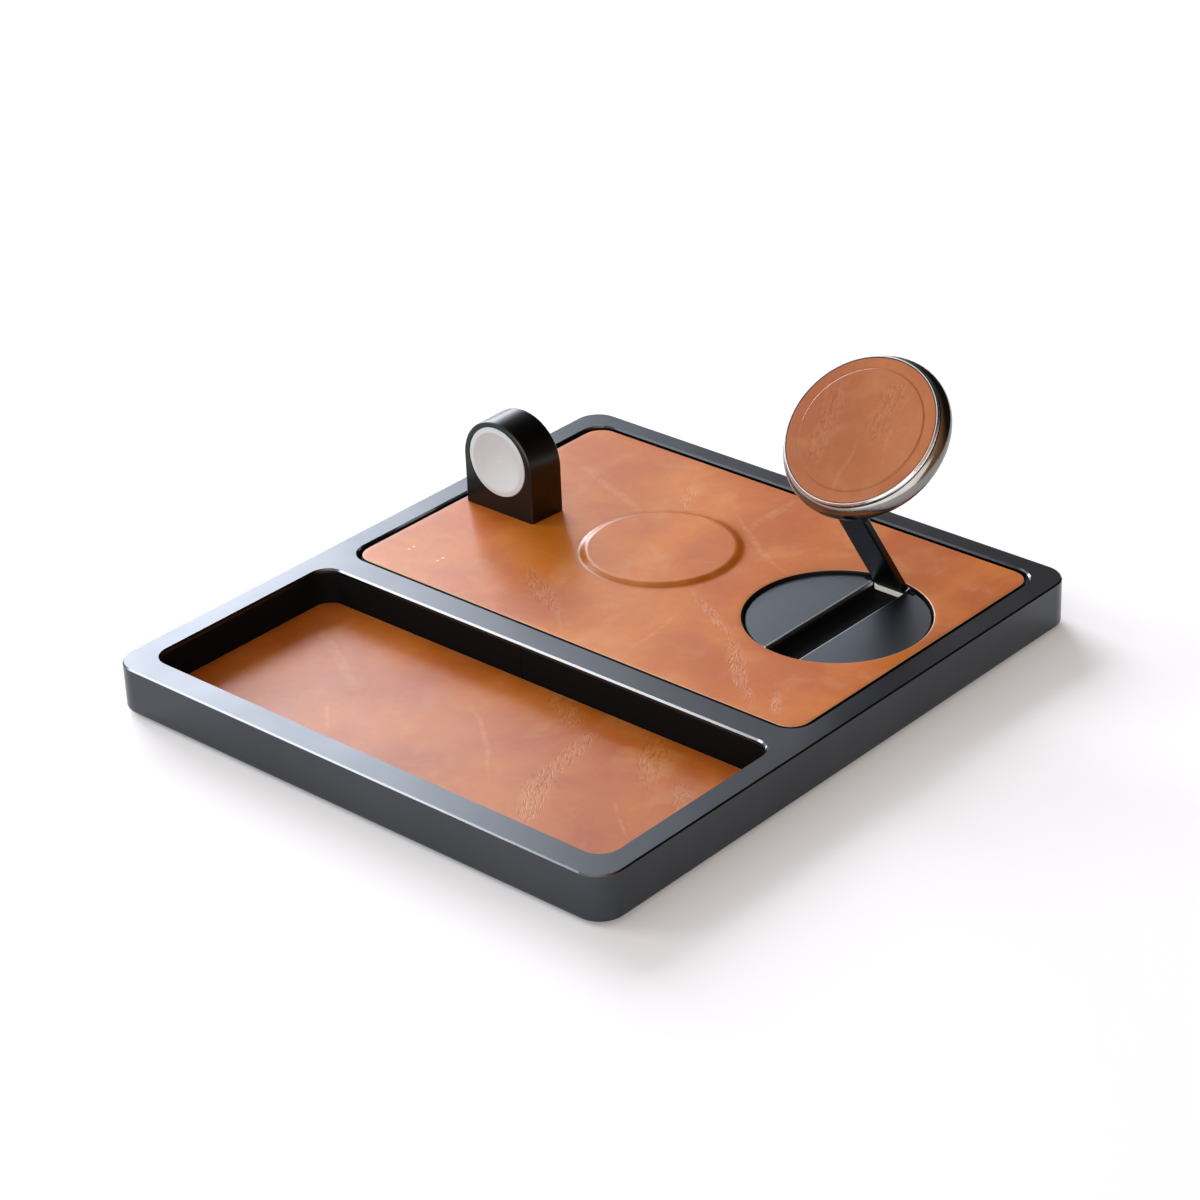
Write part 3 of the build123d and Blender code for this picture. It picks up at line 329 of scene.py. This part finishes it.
def slab_edge(lowest, highest, corner):
    """Edge of a panel with rounded corners: its outline at an inset, and how far in a point lies."""
    middle = (lowest + highest) / 2
    half = (highest - lowest) / 2

    def outline(inset):
        points = []
        for turn, (side_x, side_y) in enumerate(((1, 1), (-1, 1), (-1, -1), (1, -1))):
            centre_x = middle.x + side_x * (half.x - corner)
            centre_y = middle.y + side_y * (half.y - corner)
            for step in range(corner_steps + 1):
                angle = math.radians(90 * turn + 90 / corner_steps * step)
                points.append((centre_x + (corner - inset) * math.cos(angle),
                               centre_y + (corner - inset) * math.sin(angle)))
        return points

    def depth(x, y):
        out_x = abs(x - middle.x) - half.x + corner
        out_y = abs(y - middle.y) - half.y + corner
        if out_x > 0 and out_y > 0:
            return corner - math.hypot(out_x, out_y)
        return corner - max(out_x, out_y)

    return outline, depth


def round_edge(x, y, radius, hole=True, count=96):
    """Round edge of a hole, or of a disc."""
    way = 1 if hole else -1

    def outline(inset):
        return [(x + (radius + way * inset) * math.cos(way * -math.tau * step / count),
                 y + (radius + way * inset) * math.sin(way * -math.tau * step / count))
                for step in range(count)]

    def depth(at_x, at_y):
        return way * (math.hypot(at_x - x, at_y - y) - radius)

    return outline, depth


def fill(mesh, rings, inset, inner, edges, lift, up):
    """Close the area between rings of vertices at an inset, with triangles through inner points."""
    vertices = [vertex for ring in rings for vertex in ring]
    lines = []
    start = 0
    for ring in rings:
        lines += [(start + step, start + (step + 1) % len(ring)) for step in range(len(ring))]
        start += len(ring)
    flat = [Vector((vertex.co.x, vertex.co.y)) for vertex in vertices]
    flat += [Vector(point) for point in inner]
    merge_distance = 1e-9
    vertices += [mesh.verts.new((x, y, lift(x, y))) for x, y in inner]
    made = geometry.delaunay_2d_cdt(flat, lines, [], 0, merge_distance)
    places, triangles, sources = made[0], made[2], made[3]
    for triangle in triangles:
        x = sum(places[corner].x for corner in triangle) / 3
        y = sum(places[corner].y for corner in triangle) / 3
        if min(depth(x, y) for _, depth in edges) > inset:
            corners = [vertices[sources[corner][0]] for corner in triangle]
            mesh.faces.new(corners if up else corners[::-1])


def leather_skin(name, edges, bottom, top, edge_round, inner, relief):
    """Leather panel with rounded edges, holes, and the relief of its upper face."""
    mesh = bmesh.new()
    profile = [(0, bottom), (0, (bottom + top - edge_round) / 2)]
    for step in range(round_steps + 1):
        angle = math.radians(90 / round_steps * step)
        profile.append((edge_round * (1 - math.cos(angle)), top - edge_round * (1 - math.sin(angle))))
    lowest_rings = []
    highest_rings = []
    rim = mesh.verts.layers.float.new("rim")
    for outline, _ in edges:
        rings = []
        for inset, z in profile:
            share = max(0, (z - top + edge_round) / edge_round)
            ring = [mesh.verts.new((x, y, z + share * relief(x, y))) for x, y in outline(inset)]
            for vertex in ring:
                vertex[rim] = 1 - share ** 3
            rings.append(ring)
        for lower, upper in zip(rings, rings[1:]):
            for step in range(len(lower)):
                after = (step + 1) % len(lower)
                mesh.faces.new((lower[step], lower[after], upper[after], upper[step]))
        lowest_rings.append(rings[0])
        highest_rings.append(rings[-1])
    # Points that lie too near the rounding would make slivers
    clear = 1.6 * edge_round
    kept = [point for point in inner if min(depth(*point) for _, depth in edges) > clear]
    fill(mesh, highest_rings, edge_round, kept, edges, lambda x, y: top + relief(x, y), True)
    fill(mesh, lowest_rings, 0, [], edges, None, False)
    return shown(name, mesh)


def shown(name, mesh, sharp=None):
    """Turn a finished mesh into a smooth object in the scene."""
    data = bpy.data.meshes.new(name)
    bmesh.ops.recalc_face_normals(mesh, faces=mesh.faces)
    for face in mesh.faces:
        face.smooth = True
    mesh.to_mesh(data)
    mesh.free()
    if sharp is not None:
        data.set_sharp_from_angle(angle=math.radians(sharp))
    piece = bpy.data.objects.new(name, data)
    bpy.context.scene.collection.objects.link(piece)
    return piece


def grid(lowest, highest, spacing):
    """Points of an even grid over a panel, with every other row set off by half a step."""
    points = []
    for row in range(1, int((highest.y - lowest.y) / spacing)):
        x = lowest.x + spacing * (0.5 + 0.5 * (row % 2))
        while x < highest.x:
            points.append((x, lowest.y + row * spacing))
            x += spacing
    return points


wave_length = 25 * MM
swell = 0.05 * MM
ripple = 0.02 * MM


def wave(x, y, seed):
    """Slight unevenness of leather on its board: a long swell, and a ripple a third as long."""
    place = Vector((x / wave_length, y / wave_length, seed))
    return swell * (noise.noise(place) - 0.5) + ripple * (noise.noise(place * 3) - 0.5)


floor_low, floor_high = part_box("compartment_leather")
compartment_corner = 6.8 * MM
floor_edge_round = 0.45 * MM
floor_spacing = 3 * MM
floor_edges = [slab_edge(floor_low, floor_high, compartment_corner)]
compartment_skin = leather_skin("compartment_floor_leather", floor_edges, floor_low.z, floor_high.z,
                                floor_edge_round, grid(floor_low, floor_high, floor_spacing),
                                lambda x, y: wave(x, y, 1.0))
# Folds lie at the right of the floor, and pulled lines run slantwise over it
floor_folds = [(38, -57, -75, 56, 8), (47, -84, -66, 50, 12), (63, -45, -55, 44, 12),
               (17, -36, -30, 34, 12), (88, -58, -50, 40, 9)]
floor_pulls = [(-43, -90, -45, 26, 2), (-68, -60, -30, 56, 6), (10, -70, -40, 60, 2.4),
               (78, -78, -35, 34, 2)]
no_ring = (0, 0, 0, 0.01)
floor_leather = waxed_leather("waxed_tan_leather_floor", "#BA5B18", "#D07424", "#E8AE6C", "#D49A66", 2.0,
                              floor_folds, floor_pulls, no_ring)
compartment_skin.data.materials.append(floor_leather)
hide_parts("compartment_leather")
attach(compartment_skin, "base")
# Cut to the floor less its rounded corners
dress(["compartment_board"], moulded("pressed_fibreboard", "#6B4E33", 0.85, texture=0.7, gloss=0.2))

# Compartment lining
# A strip of thin black split leather round the walls, butted at one upright seam in the rear
# wall, with its top edge rounded.
liner_low, liner_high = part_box("compartment_liner")
liner_thickness = 0.8 * MM
liner_corner = 7.8 * MM
seam_x = -8.5 * MM
seam_gap = 0.25 * MM


def liner_path(inset):
    """Way round the walls from one side of the seam to the other, at an inset."""
    points = [(seam_x + seam_gap / 2, liner_high.y - inset)]
    outline, _ = slab_edge(liner_low, liner_high, liner_corner)
    around = outline(inset)
    first = corner_steps + 1
    points += around[:first][::-1] + around[first:][::-1]
    return points + [(seam_x - seam_gap / 2, liner_high.y - inset)]


liner_mesh = bmesh.new()
liner_round = liner_thickness / 2
liner_profile = [(0, liner_low.z), (0, liner_high.z - liner_round)]
liner_profile += [(liner_round - liner_round * math.cos(math.radians(turn)),
                   liner_high.z - liner_round + liner_round * math.sin(math.radians(turn)))
                  for turn in range(30, 180, 30)]
liner_profile += [(liner_thickness, liner_high.z - liner_round), (liner_thickness, liner_low.z)]
liner_rows = [[liner_mesh.verts.new((x, y, z)) for x, y in liner_path(inset)] for inset, z in liner_profile]
for row, next_row in zip(liner_rows, liner_rows[1:] + liner_rows[:1]):
    for step in range(len(row) - 1):
        liner_mesh.faces.new((row[step], row[step + 1], next_row[step + 1], next_row[step]))
for end in (0, -1):
    liner_mesh.faces.new([row[end] for row in liner_rows])
liner = shown("compartment_lining", liner_mesh, sharp=50)
# The lining's near-black is partly its own black and partly a painted shade on the compartment's walls
split_leather = moulded("black_lining_painted_shade", "#060505", 0.75, texture=0.9, strength=0.6, gloss=0.1)
liner.data.materials.append(split_leather)
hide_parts("compartment_liner")
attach(liner, "base")

# Deck plate and charging coil of the earbud pad
# A moulded black plate, screwed to the frame's ledge from below. The coil is flat litz wire on
# a ferrite disc, held up against the plate by a plastic tray.
black_plastic = moulded("moulded_black_nylon", "#151515", 0.5)
dress(["deck_plate", "pad_riser", "coil_tray", "disc_carrier"], black_plastic)


def litz(name, centre, tilt=(0, 0, 0)):
    """Flat winding of enamelled copper litz wire, 1 mm from turn to turn."""
    material, tree, shader, place = new_finish(name, Metallic=0.9, Roughness=0.35)
    moved = add(tree, "VectorMath", {0: place, 1: [value / MM for value in centre]},
                operation="SUBTRACT").outputs["Vector"]
    turned = add(tree, "Mapping", {"Vector": moved, "Rotation": tilt}).outputs["Vector"]
    turns = add(tree, "TexWave", {"Vector": turned, "Scale": 1 / (2 * math.pi), "Distortion": 0.3},
                wave_type="RINGS", rings_direction="Z").outputs["Fac"]
    paint = add(tree, "MixRGB", {"Fac": turns, "Color1": linear("#6E3518"), "Color2": linear("#C9793F")})
    bump = add(tree, "Bump", {"Height": turns, "Strength": 0.6, "Distance": 0.3 * MM})
    tree.links.new(paint.outputs["Color"], shader.inputs["Base Color"])
    tree.links.new(bump.outputs["Normal"], shader.inputs["Normal"])
    return material


def middle_of(node):
    """Middle of a CAD node's box."""
    low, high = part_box(node)
    return (low + high) / 2


disc_mount = next(mount for mount in frame["record"]["mounts"] if mount["name"] == "phone_face")
disc_centre = Vector(disc_mount["pos_m"])
disc_normal = Vector(disc_mount["axis"])
disc_tilt = math.atan2(-disc_normal.y, disc_normal.z)
dress(["pad_coil"], litz("litz_copper_pad", middle_of("pad_coil")))
dress(["puck_coil"], litz("litz_copper_watch", middle_of("puck_coil"), (math.radians(90), 0, 0)))
dress(["disc_coil"], litz("litz_copper_disc", disc_centre, (-disc_tilt, 0, 0)))
ferrite = moulded("sintered_ferrite", "#2B2B2D", 0.6, texture=0.4, strength=0.2)
dress(["pad_ferrite", "disc_ferrite"], ferrite)

# Deck leather
# The same waxed hide, glued over the plate and moulded over a thin round riser, which gives the
# earbud pad its soft step. A round hole is punched for the recess.
deck_low, deck_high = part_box("deck_leather")
plate_low, plate_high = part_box("recess_plate")
deck_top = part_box("light_pipes")[1].z
deck_corner = 7.5 * MM
recess_centre = (plate_low + plate_high) / 2
recess_radius = 33 * MM
pad_centre = middle_of("pad_coil")
pad_crown = 26.2 * MM
pad_foot = 29.9 * MM
light_x = -88 * MM
light_y = -1.3 * MM
light_pair_pitch = 14.3 * MM
light_half_gap = 1.3 * MM
light_clear = 1.2 * MM
light_places = [(light_x + pair * light_pair_pitch, light_y + side * light_half_gap)
                for pair in (0, 1) for side in (-1, 1)]


def deck_relief(x, y):
    """Unevenness of the deck leather, and the soft step of the pad."""
    out = math.hypot(x - pad_centre.x, y - pad_centre.y)
    share = min(1, max(0, (pad_foot - out) / (pad_foot - pad_crown)))
    return wave(x, y, 5.0) + (deck_high.z - deck_top) * share * share * (3 - 2 * share)


# The panel is cut short all round, which leaves the dark gap to the rim
deck_gap = 0.5 * MM
deck_inset = Vector((deck_gap, deck_gap, 0))
deck_edge_round = 0.5 * MM
deck_spacing = 2.5 * MM
deck_edges = [slab_edge(deck_low + deck_inset, deck_high - deck_inset, deck_corner),
              round_edge(recess_centre.x, recess_centre.y, recess_radius)]
# Close rings of points take the place of the even grid at the pad's step
step_from = 25 * MM
step_to = 32 * MM
first_step_ring = 25.6 * MM
step_ring_pitch = 0.3 * MM
step_ring_points = 160
step_rings = [first_step_ring + step_ring_pitch * ring for ring in range(17)]
deck_points = [(x, y) for x, y in grid(deck_low, deck_high, deck_spacing)
               if not step_from < math.hypot(x - pad_centre.x, y - pad_centre.y) < step_to
               and min(math.dist((x, y), light) for light in light_places) > light_clear]
deck_points += [(pad_centre.x + radius * math.cos(math.tau * step / step_ring_points),
                 pad_centre.y + radius * math.sin(math.tau * step / step_ring_points))
                for radius in step_rings for step in range(step_ring_points)]
deck_skin = leather_skin("deck_leather_panel", deck_edges, deck_low.z, deck_top, deck_edge_round,
                         deck_points, deck_relief)
# Folds lie in front of the pad and the recess, and pulled lines cross the rear half
deck_folds = [(28, 27, -32, 50, 5), (60, 3, -42, 56, 9), (-30, 4, -32, 50, 9), (-34, 89, -58, 30, 7),
              (84, -6, -45, 20, 6)]
deck_pulls = [(22, 6, -82, 40, 2.2), (-12, -8, -40, 40, 2), (-2, 98, -85, 40, 5), (30, 104, -50, 40, 8),
              (-62, 78, -20, 60, 5), (10, 76, -30, 60, 3)]
# The ring round the pad's step is painted darker, a painted shade for the step
deck_leather = waxed_leather("waxed_tan_leather_deck", "#C26111", "#D97A1E", "#ECB274", "#F7CFA0", 6.0,
                             deck_folds, deck_pulls, (pad_centre.x / MM, pad_centre.y / MM, 28.8, 7.0))
deck_skin.data.materials.append(deck_leather)
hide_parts("deck_leather")
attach(deck_skin, "base")

# Recess, slot and foot hinge
# Two half-moons of grey anodised plate lie either side of the slot. The slot's walls are a
# moulded cradle, which carries the arm's steel pin between nylon washers.
slot_half_width = 6.95 * MM
# The plate's colour carries a painted highlight along the slot's edges
dress(["recess_plate"], anodised("anodised_recess_plate", "#5D6268", "#62676D", 0.36,
                                 slot=(recess_centre.x / MM, slot_half_width / MM)))
dress(["slot_cradle"], moulded("moulded_cradle", "#040404", 0.85, gloss=0.1))
ground_steel = bare_metal("ground_steel_pin", "#C4C6C8", 0.18, stretch=(1, 12, 12))
dress(["foot_pin", "disc_pin"], ground_steel)
dress(["hinge_washers"], moulded("natural_nylon_washer", "#CFCDC4", 0.4))

# Watch stand
# An arch machined from aluminium, blasted and anodised black, screwed down through the deck.
# The round charger in its front is polished white plastic, dished for the back of a watch.
dress(["watch_stand"], anodised("anodised_black_stand", "#363838", "#3B3D3D", 0.30))


def polished_plastic(name, colour, roughness):
    """Polished white plastic: bright, a touch of light under the skin, and almost no grain."""
    material, tree, shader, place = new_finish(name, IOR=1.49, Subsurface_Weight=0.08,
                                               Subsurface_Scale=1.5 * MM, Coat_Weight=0.3)
    haze = add(tree, "TexNoise", {"Vector": place, "Scale": 1 / 4, "Detail": 3.0}).outputs["Fac"]
    paint = add(tree, "MixRGB", {"Fac": haze, "Color1": linear(colour), "Color2": linear("#F4FAFB")})
    rough = add(tree, "MapRange", {"Value": haze, "From Min": 0.3, "From Max": 0.7,
                                   "To Min": roughness - 0.03, "To Max": roughness + 0.03})
    tree.links.new(paint.outputs["Color"], shader.inputs["Base Color"])
    tree.links.new(rough.outputs["Result"], shader.inputs["Roughness"])
    return material


dress(["watch_puck"], polished_plastic("polished_white_puck", "#E6F6F9", 0.18))
dress(["puck_case"], bare_metal("turned_puck_case", "#B9BBBE", 0.3, stretch=(1, 10, 1)))
nickel = bare_metal("nickel_plated_magnet", "#B5B2AB", 0.2)
dress(["puck_magnet", "disc_magnets"], nickel)

# Charge lights
# Four rods of frosted acrylic carry light from a small board up through the leather, and end
# flush with it.
frosted_acrylic, acrylic_tree, acrylic, acrylic_place = new_finish(
    "frosted_acrylic_light", IOR=1.49, Roughness=0.5)
frost = add(acrylic_tree, "TexNoise", {"Vector": acrylic_place, "Scale": 4.0, "Detail": 2.0})
frost_paint = add(acrylic_tree, "MixRGB", {"Fac": frost.outputs["Fac"], "Color1": linear("#EBC4A0"),
                                           "Color2": linear("#F6DCC4")})
acrylic_tree.links.new(frost_paint.outputs["Color"], acrylic.inputs["Base Color"])
dress(["light_pipes"], frosted_acrylic)

# Electronics
# A green circuit board on posts of the bottom cover carries the parts and the USB-C socket,
# whose drawn steel shell opens in the middle of the rear wall.
circuit_board, board_tree, board_shader, board_place = new_finish("solder_mask_board", IOR=1.5,
                                                                  Roughness=0.3)
tracks = add(board_tree, "TexBrick", {"Vector": board_place, "Scale": 0.4, "Mortar Size": 0.03,
                                      "Color1": linear("#0C4A26"), "Color2": linear("#0F5A2E"),
                                      "Mortar": linear("#1F7A44")})
track_bump = add(board_tree, "Bump", {"Height": tracks.outputs["Fac"], "Strength": 0.4,
                                      "Distance": 0.05 * MM})
board_tree.links.new(tracks.outputs["Color"], board_shader.inputs["Base Color"])
board_tree.links.new(track_bump.outputs["Normal"], board_shader.inputs["Normal"])
dress(["main_board", "light_board"], circuit_board)
dress(["board_parts"], moulded("moulded_epoxy_parts", "#1A1B1D", 0.45, texture=0.3))
dress(["coil_leads"], moulded("silicone_lead", "#7E1B16", 0.5, texture=0.3))
dress(["usb_c_socket"], bare_metal("drawn_steel_socket", "#C9CACC", 0.22, stretch=(1, 0.1, 1)))
dress(["usb_c_tongue"], moulded("moulded_socket_tongue", "#101011", 0.4, texture=0.3))
dress(["ballast_plate"], bare_metal("cut_steel_ballast", "#7C7D80", 0.42, stretch=(0.1, 1, 1)))

# Socket contacts
# Twelve gold-plated strips lie on each side of the socket's tongue.
socket_low, socket_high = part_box("usb_c_tongue")
contact_pitch = 0.5 * MM
contact_width = 0.26 * MM
contact_length = 3.2 * MM
contact_proud = 0.03 * MM
contact_setback = 0.4 * MM
contact_edge = 0.01 * MM
contacts_a_side = 12
tongue_half = 0.35 * MM
contact_mesh = bmesh.new()
for side in (-1, 1):
    for place in range(contacts_a_side):
        centre = Vector(((socket_low.x + socket_high.x) / 2
                         + (place - (contacts_a_side - 1) / 2) * contact_pitch,
                         socket_high.y - contact_setback - contact_length / 2,
                         (socket_low.z + socket_high.z) / 2 + side * tongue_half))
        size = Matrix.Diagonal((contact_width, contact_length, 2 * contact_proud, 1))
        bmesh.ops.create_cube(contact_mesh, size=1, matrix=Matrix.Translation(centre) @ size)
bmesh.ops.bevel(contact_mesh, geom=contact_mesh.edges[:], offset=contact_edge, segments=2, affect="EDGES")
contacts = shown("usb_c_contacts", contact_mesh, sharp=40)
contacts.data.materials.append(bare_metal("gold_plated_contact", "#D9A441", 0.2))
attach(contacts, "base")

# Arm
# A flat bar of aluminium, anodised black, with rounded shoulders under the disc. A polished
# steel barrel is pressed on its foot and turns on the pin.
dress(["arm"], anodised("anodised_black_arm", "#2A2C30", "#303237", 0.3))
barrel_steel = bare_metal("polished_steel_barrel_painted_glow", "#F2F0EA", 0.2, strength=0.05)
dress(["hinge_barrel"], barrel_steel)
# Nearly all that it mirrors is the black slot, so a faint glow, a painted highlight, stands in for its
# bright polish
barrel_shader = barrel_steel.node_tree.nodes["Principled BSDF"]
barrel_shader.inputs["Emission Color"].default_value = linear("#EDE9DF")
barrel_shader.inputs["Emission Strength"].default_value = 0.5
dress(["disc_bracket"], bare_metal("black_plated_bracket", "#3A3A3C", 0.35))

# Disc shell and bezel
# The shell is turned from aluminium, polished and plated the colour of gunmetal. A thin bright
# bezel holds the leather.
dress(["disc_shell"], bare_metal("polished_gunmetal", "#878480", 0.16, scratch=0.8, strength=0.06))
dress(["disc_bezel"], bare_metal("polished_bezel", "#FFFFFF", 0.2, strength=0.04))

# Disc leather
# A round of the same hide, rounded at its rim, with a plateau pressed up inside a fine ring.
disc_radius = 27.65 * MM
leather_depth = 1.2 * MM
plateau_radius = 22.8 * MM
plateau_slope = 0.5 * MM
plateau_drop = 0.2 * MM
disc_edge_round = 0.5 * MM
disc_spacing = 1.5 * MM
disc_wave_share = 0.3


def disc_relief(x, y):
    """Level of the disc leather below its highest face: lower outside the pressed ring."""
    share = min(1, max(0, (math.hypot(x, y) - plateau_radius) / plateau_slope))
    uneven = disc_wave_share * (wave(x, y, 9.0) - (swell + ripple) / 2)
    return -plateau_drop * share * share * (3 - 2 * share) + uneven


# Close rings of points take the place of the even grid at the pressed ring
pressed_from = 22.2 * MM
pressed_to = 23.9 * MM
first_pressed_ring = 22.6 * MM
pressed_ring_pitch = 0.12 * MM
pressed_ring_points = 120
pressed_rings = [first_pressed_ring + pressed_ring_pitch * ring for ring in range(8)]
disc_points = [(radius * math.cos(math.tau * step / pressed_ring_points),
                radius * math.sin(math.tau * step / pressed_ring_points))
               for radius in pressed_rings for step in range(pressed_ring_points)]
disc_low, disc_high = Vector((-disc_radius,) * 3), Vector((disc_radius,) * 3)
disc_points += [(x, y) for x, y in grid(disc_low, disc_high, disc_spacing)
                if not pressed_from < math.hypot(x, y) < pressed_to]
disc_skin = leather_skin("disc_leather_face", [round_edge(0, 0, disc_radius, hole=False)],
                         -leather_depth, 0, disc_edge_round, disc_points, disc_relief)
disc_skin.matrix_world = Matrix.Translation(disc_centre) @ Matrix.Rotation(disc_tilt, 4, "X")
disc_folds = [(-14, 0, 100, 46, 12), (6, 8, 90, 30, 14)]
disc_pulls = [(-12, 4, 100, 44, 2), (-19, 2, 105, 36, 1.6), (12, 4, 96, 36, 2), (2, -14, 95, 26, 1.6)]
# The pressed ring is painted darker, a painted shade along its step
disc_leather = waxed_leather("waxed_tan_leather_disc", "#B9662F", "#C67239", "#DC9C66", "#6E3A1E", 11.0,
                             disc_folds, disc_pulls, (0, 0, 23.1, 1.4), grain=98)
disc_skin.data.materials.append(disc_leather)
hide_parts("disc_leather")
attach(disc_skin, "disc")

# Floor and light
# A wide white table top in a pale room, with a large low window at the left rear, and a panel
# high at the front left that catches the chamfers. A white card at the front is only mirrored.
# The right side of the room is warm, and its rear is dim.
table_radius = 12.0
floor_mesh = bmesh.new()
bmesh.ops.create_circle(floor_mesh, cap_ends=True, radius=table_radius, segments=96)
table = shown("table_top", floor_mesh)
white_table, table_tree, table_shader, _ = new_finish("white_table", Roughness=0.9,
                                                      Base_Color=linear("#FCFCFC"),
                                                      Emission_Color=linear("#FFFFFF"))
ray = add(table_tree, "LightPath")
seen = add(table_tree, "Math", {0: ray.outputs["Is Camera Ray"], 1: ray.outputs["Is Glossy Ray"]},
           operation="MAXIMUM").outputs["Value"]
through = add(table_tree, "Math", {0: seen, 1: ray.outputs["Is Transmission Ray"]},
              operation="MAXIMUM").outputs["Value"]
table_glow = 0.2
glow = add(table_tree, "Math", {0: through, 1: table_glow}, operation="MULTIPLY").outputs["Value"]
table_tree.links.new(glow, table_shader.inputs["Emission Strength"])
table.data.materials.append(white_table)


def panel(name, azimuth, elevation, distance, width, height, radiance, colour, lights=True):
    """Soft rectangular lamp in a direction from the tray, as bright as it looks in a mirror."""
    turn = math.radians(azimuth)
    rise = math.radians(elevation)
    data = bpy.data.lights.new(name, "AREA")
    data.shape = "RECTANGLE"
    data.size = width
    data.size_y = height
    data.energy = radiance * math.pi * width * height
    data.color = linear(colour)[:3]
    lamp = bpy.data.objects.new(name, data)
    lamp.location = distance * Vector((math.cos(rise) * math.cos(turn), math.cos(rise) * math.sin(turn),
                                       math.sin(rise)))
    lamp.rotation_euler = lamp.location.to_track_quat("Z", "Y").to_euler()
    lamp.visible_camera = False
    lamp.visible_diffuse = lights
    bpy.context.scene.collection.objects.link(lamp)


panel("window", 156, 23, 4.0, 2.5, 2.0, 11.3, "#F1F5FE")
panel("chamfer_panel", 212, 35, 3.0, 1.1, 0.9, 5.0, "#FFFFFF")
panel("white_card", 300, 22, 2.5, 4.2, 2.2, 2.1, "#FFFFFF", lights=False)

room = bpy.data.worlds.new("room")
bpy.context.scene.world = room
room.use_nodes = True
room_tree = room.node_tree
room_background = room_tree.nodes["Background"]
way = add(room_tree, "TexCoord").outputs["Generated"]


def toward(direction, start, full):
    """How far a direction in the room points to one side, from 0 to 1."""
    aim = Vector(direction).normalized()
    share = add(room_tree, "VectorMath", {0: way, 1: aim}, operation="DOT_PRODUCT").outputs["Value"]
    return add(room_tree, "MapRange", {"Value": share, "From Min": start, "From Max": full},
               interpolation_type="SMOOTHSTEP").outputs["Result"]


warm_or_cool = add(room_tree, "MixRGB", {"Fac": toward((-1, -0.3, 0.4), -0.2, 0.8),
                                         "Color1": linear("#CF9762"), "Color2": linear("#EEF3FF")})
camera_side = add(room_tree, "MixRGB", {"Fac": toward((0.3, -0.8, 0.5), 0.55, 0.95),
                                        "Color1": warm_or_cool.outputs["Color"],
                                        "Color2": linear("#F5F6FA")})
dark_side = add(room_tree, "MixRGB", {"Fac": toward((0.2, 0.8, 0.4), 0.4, 0.92),
                                      "Color1": camera_side.outputs["Color"],
                                      "Color2": linear("#2A2622")})
room_tree.links.new(dark_side.outputs["Color"], room_background.inputs["Color"])
room_background.inputs["Strength"].default_value = 0.76

bpy.context.scene.view_settings.view_transform = "Standard"
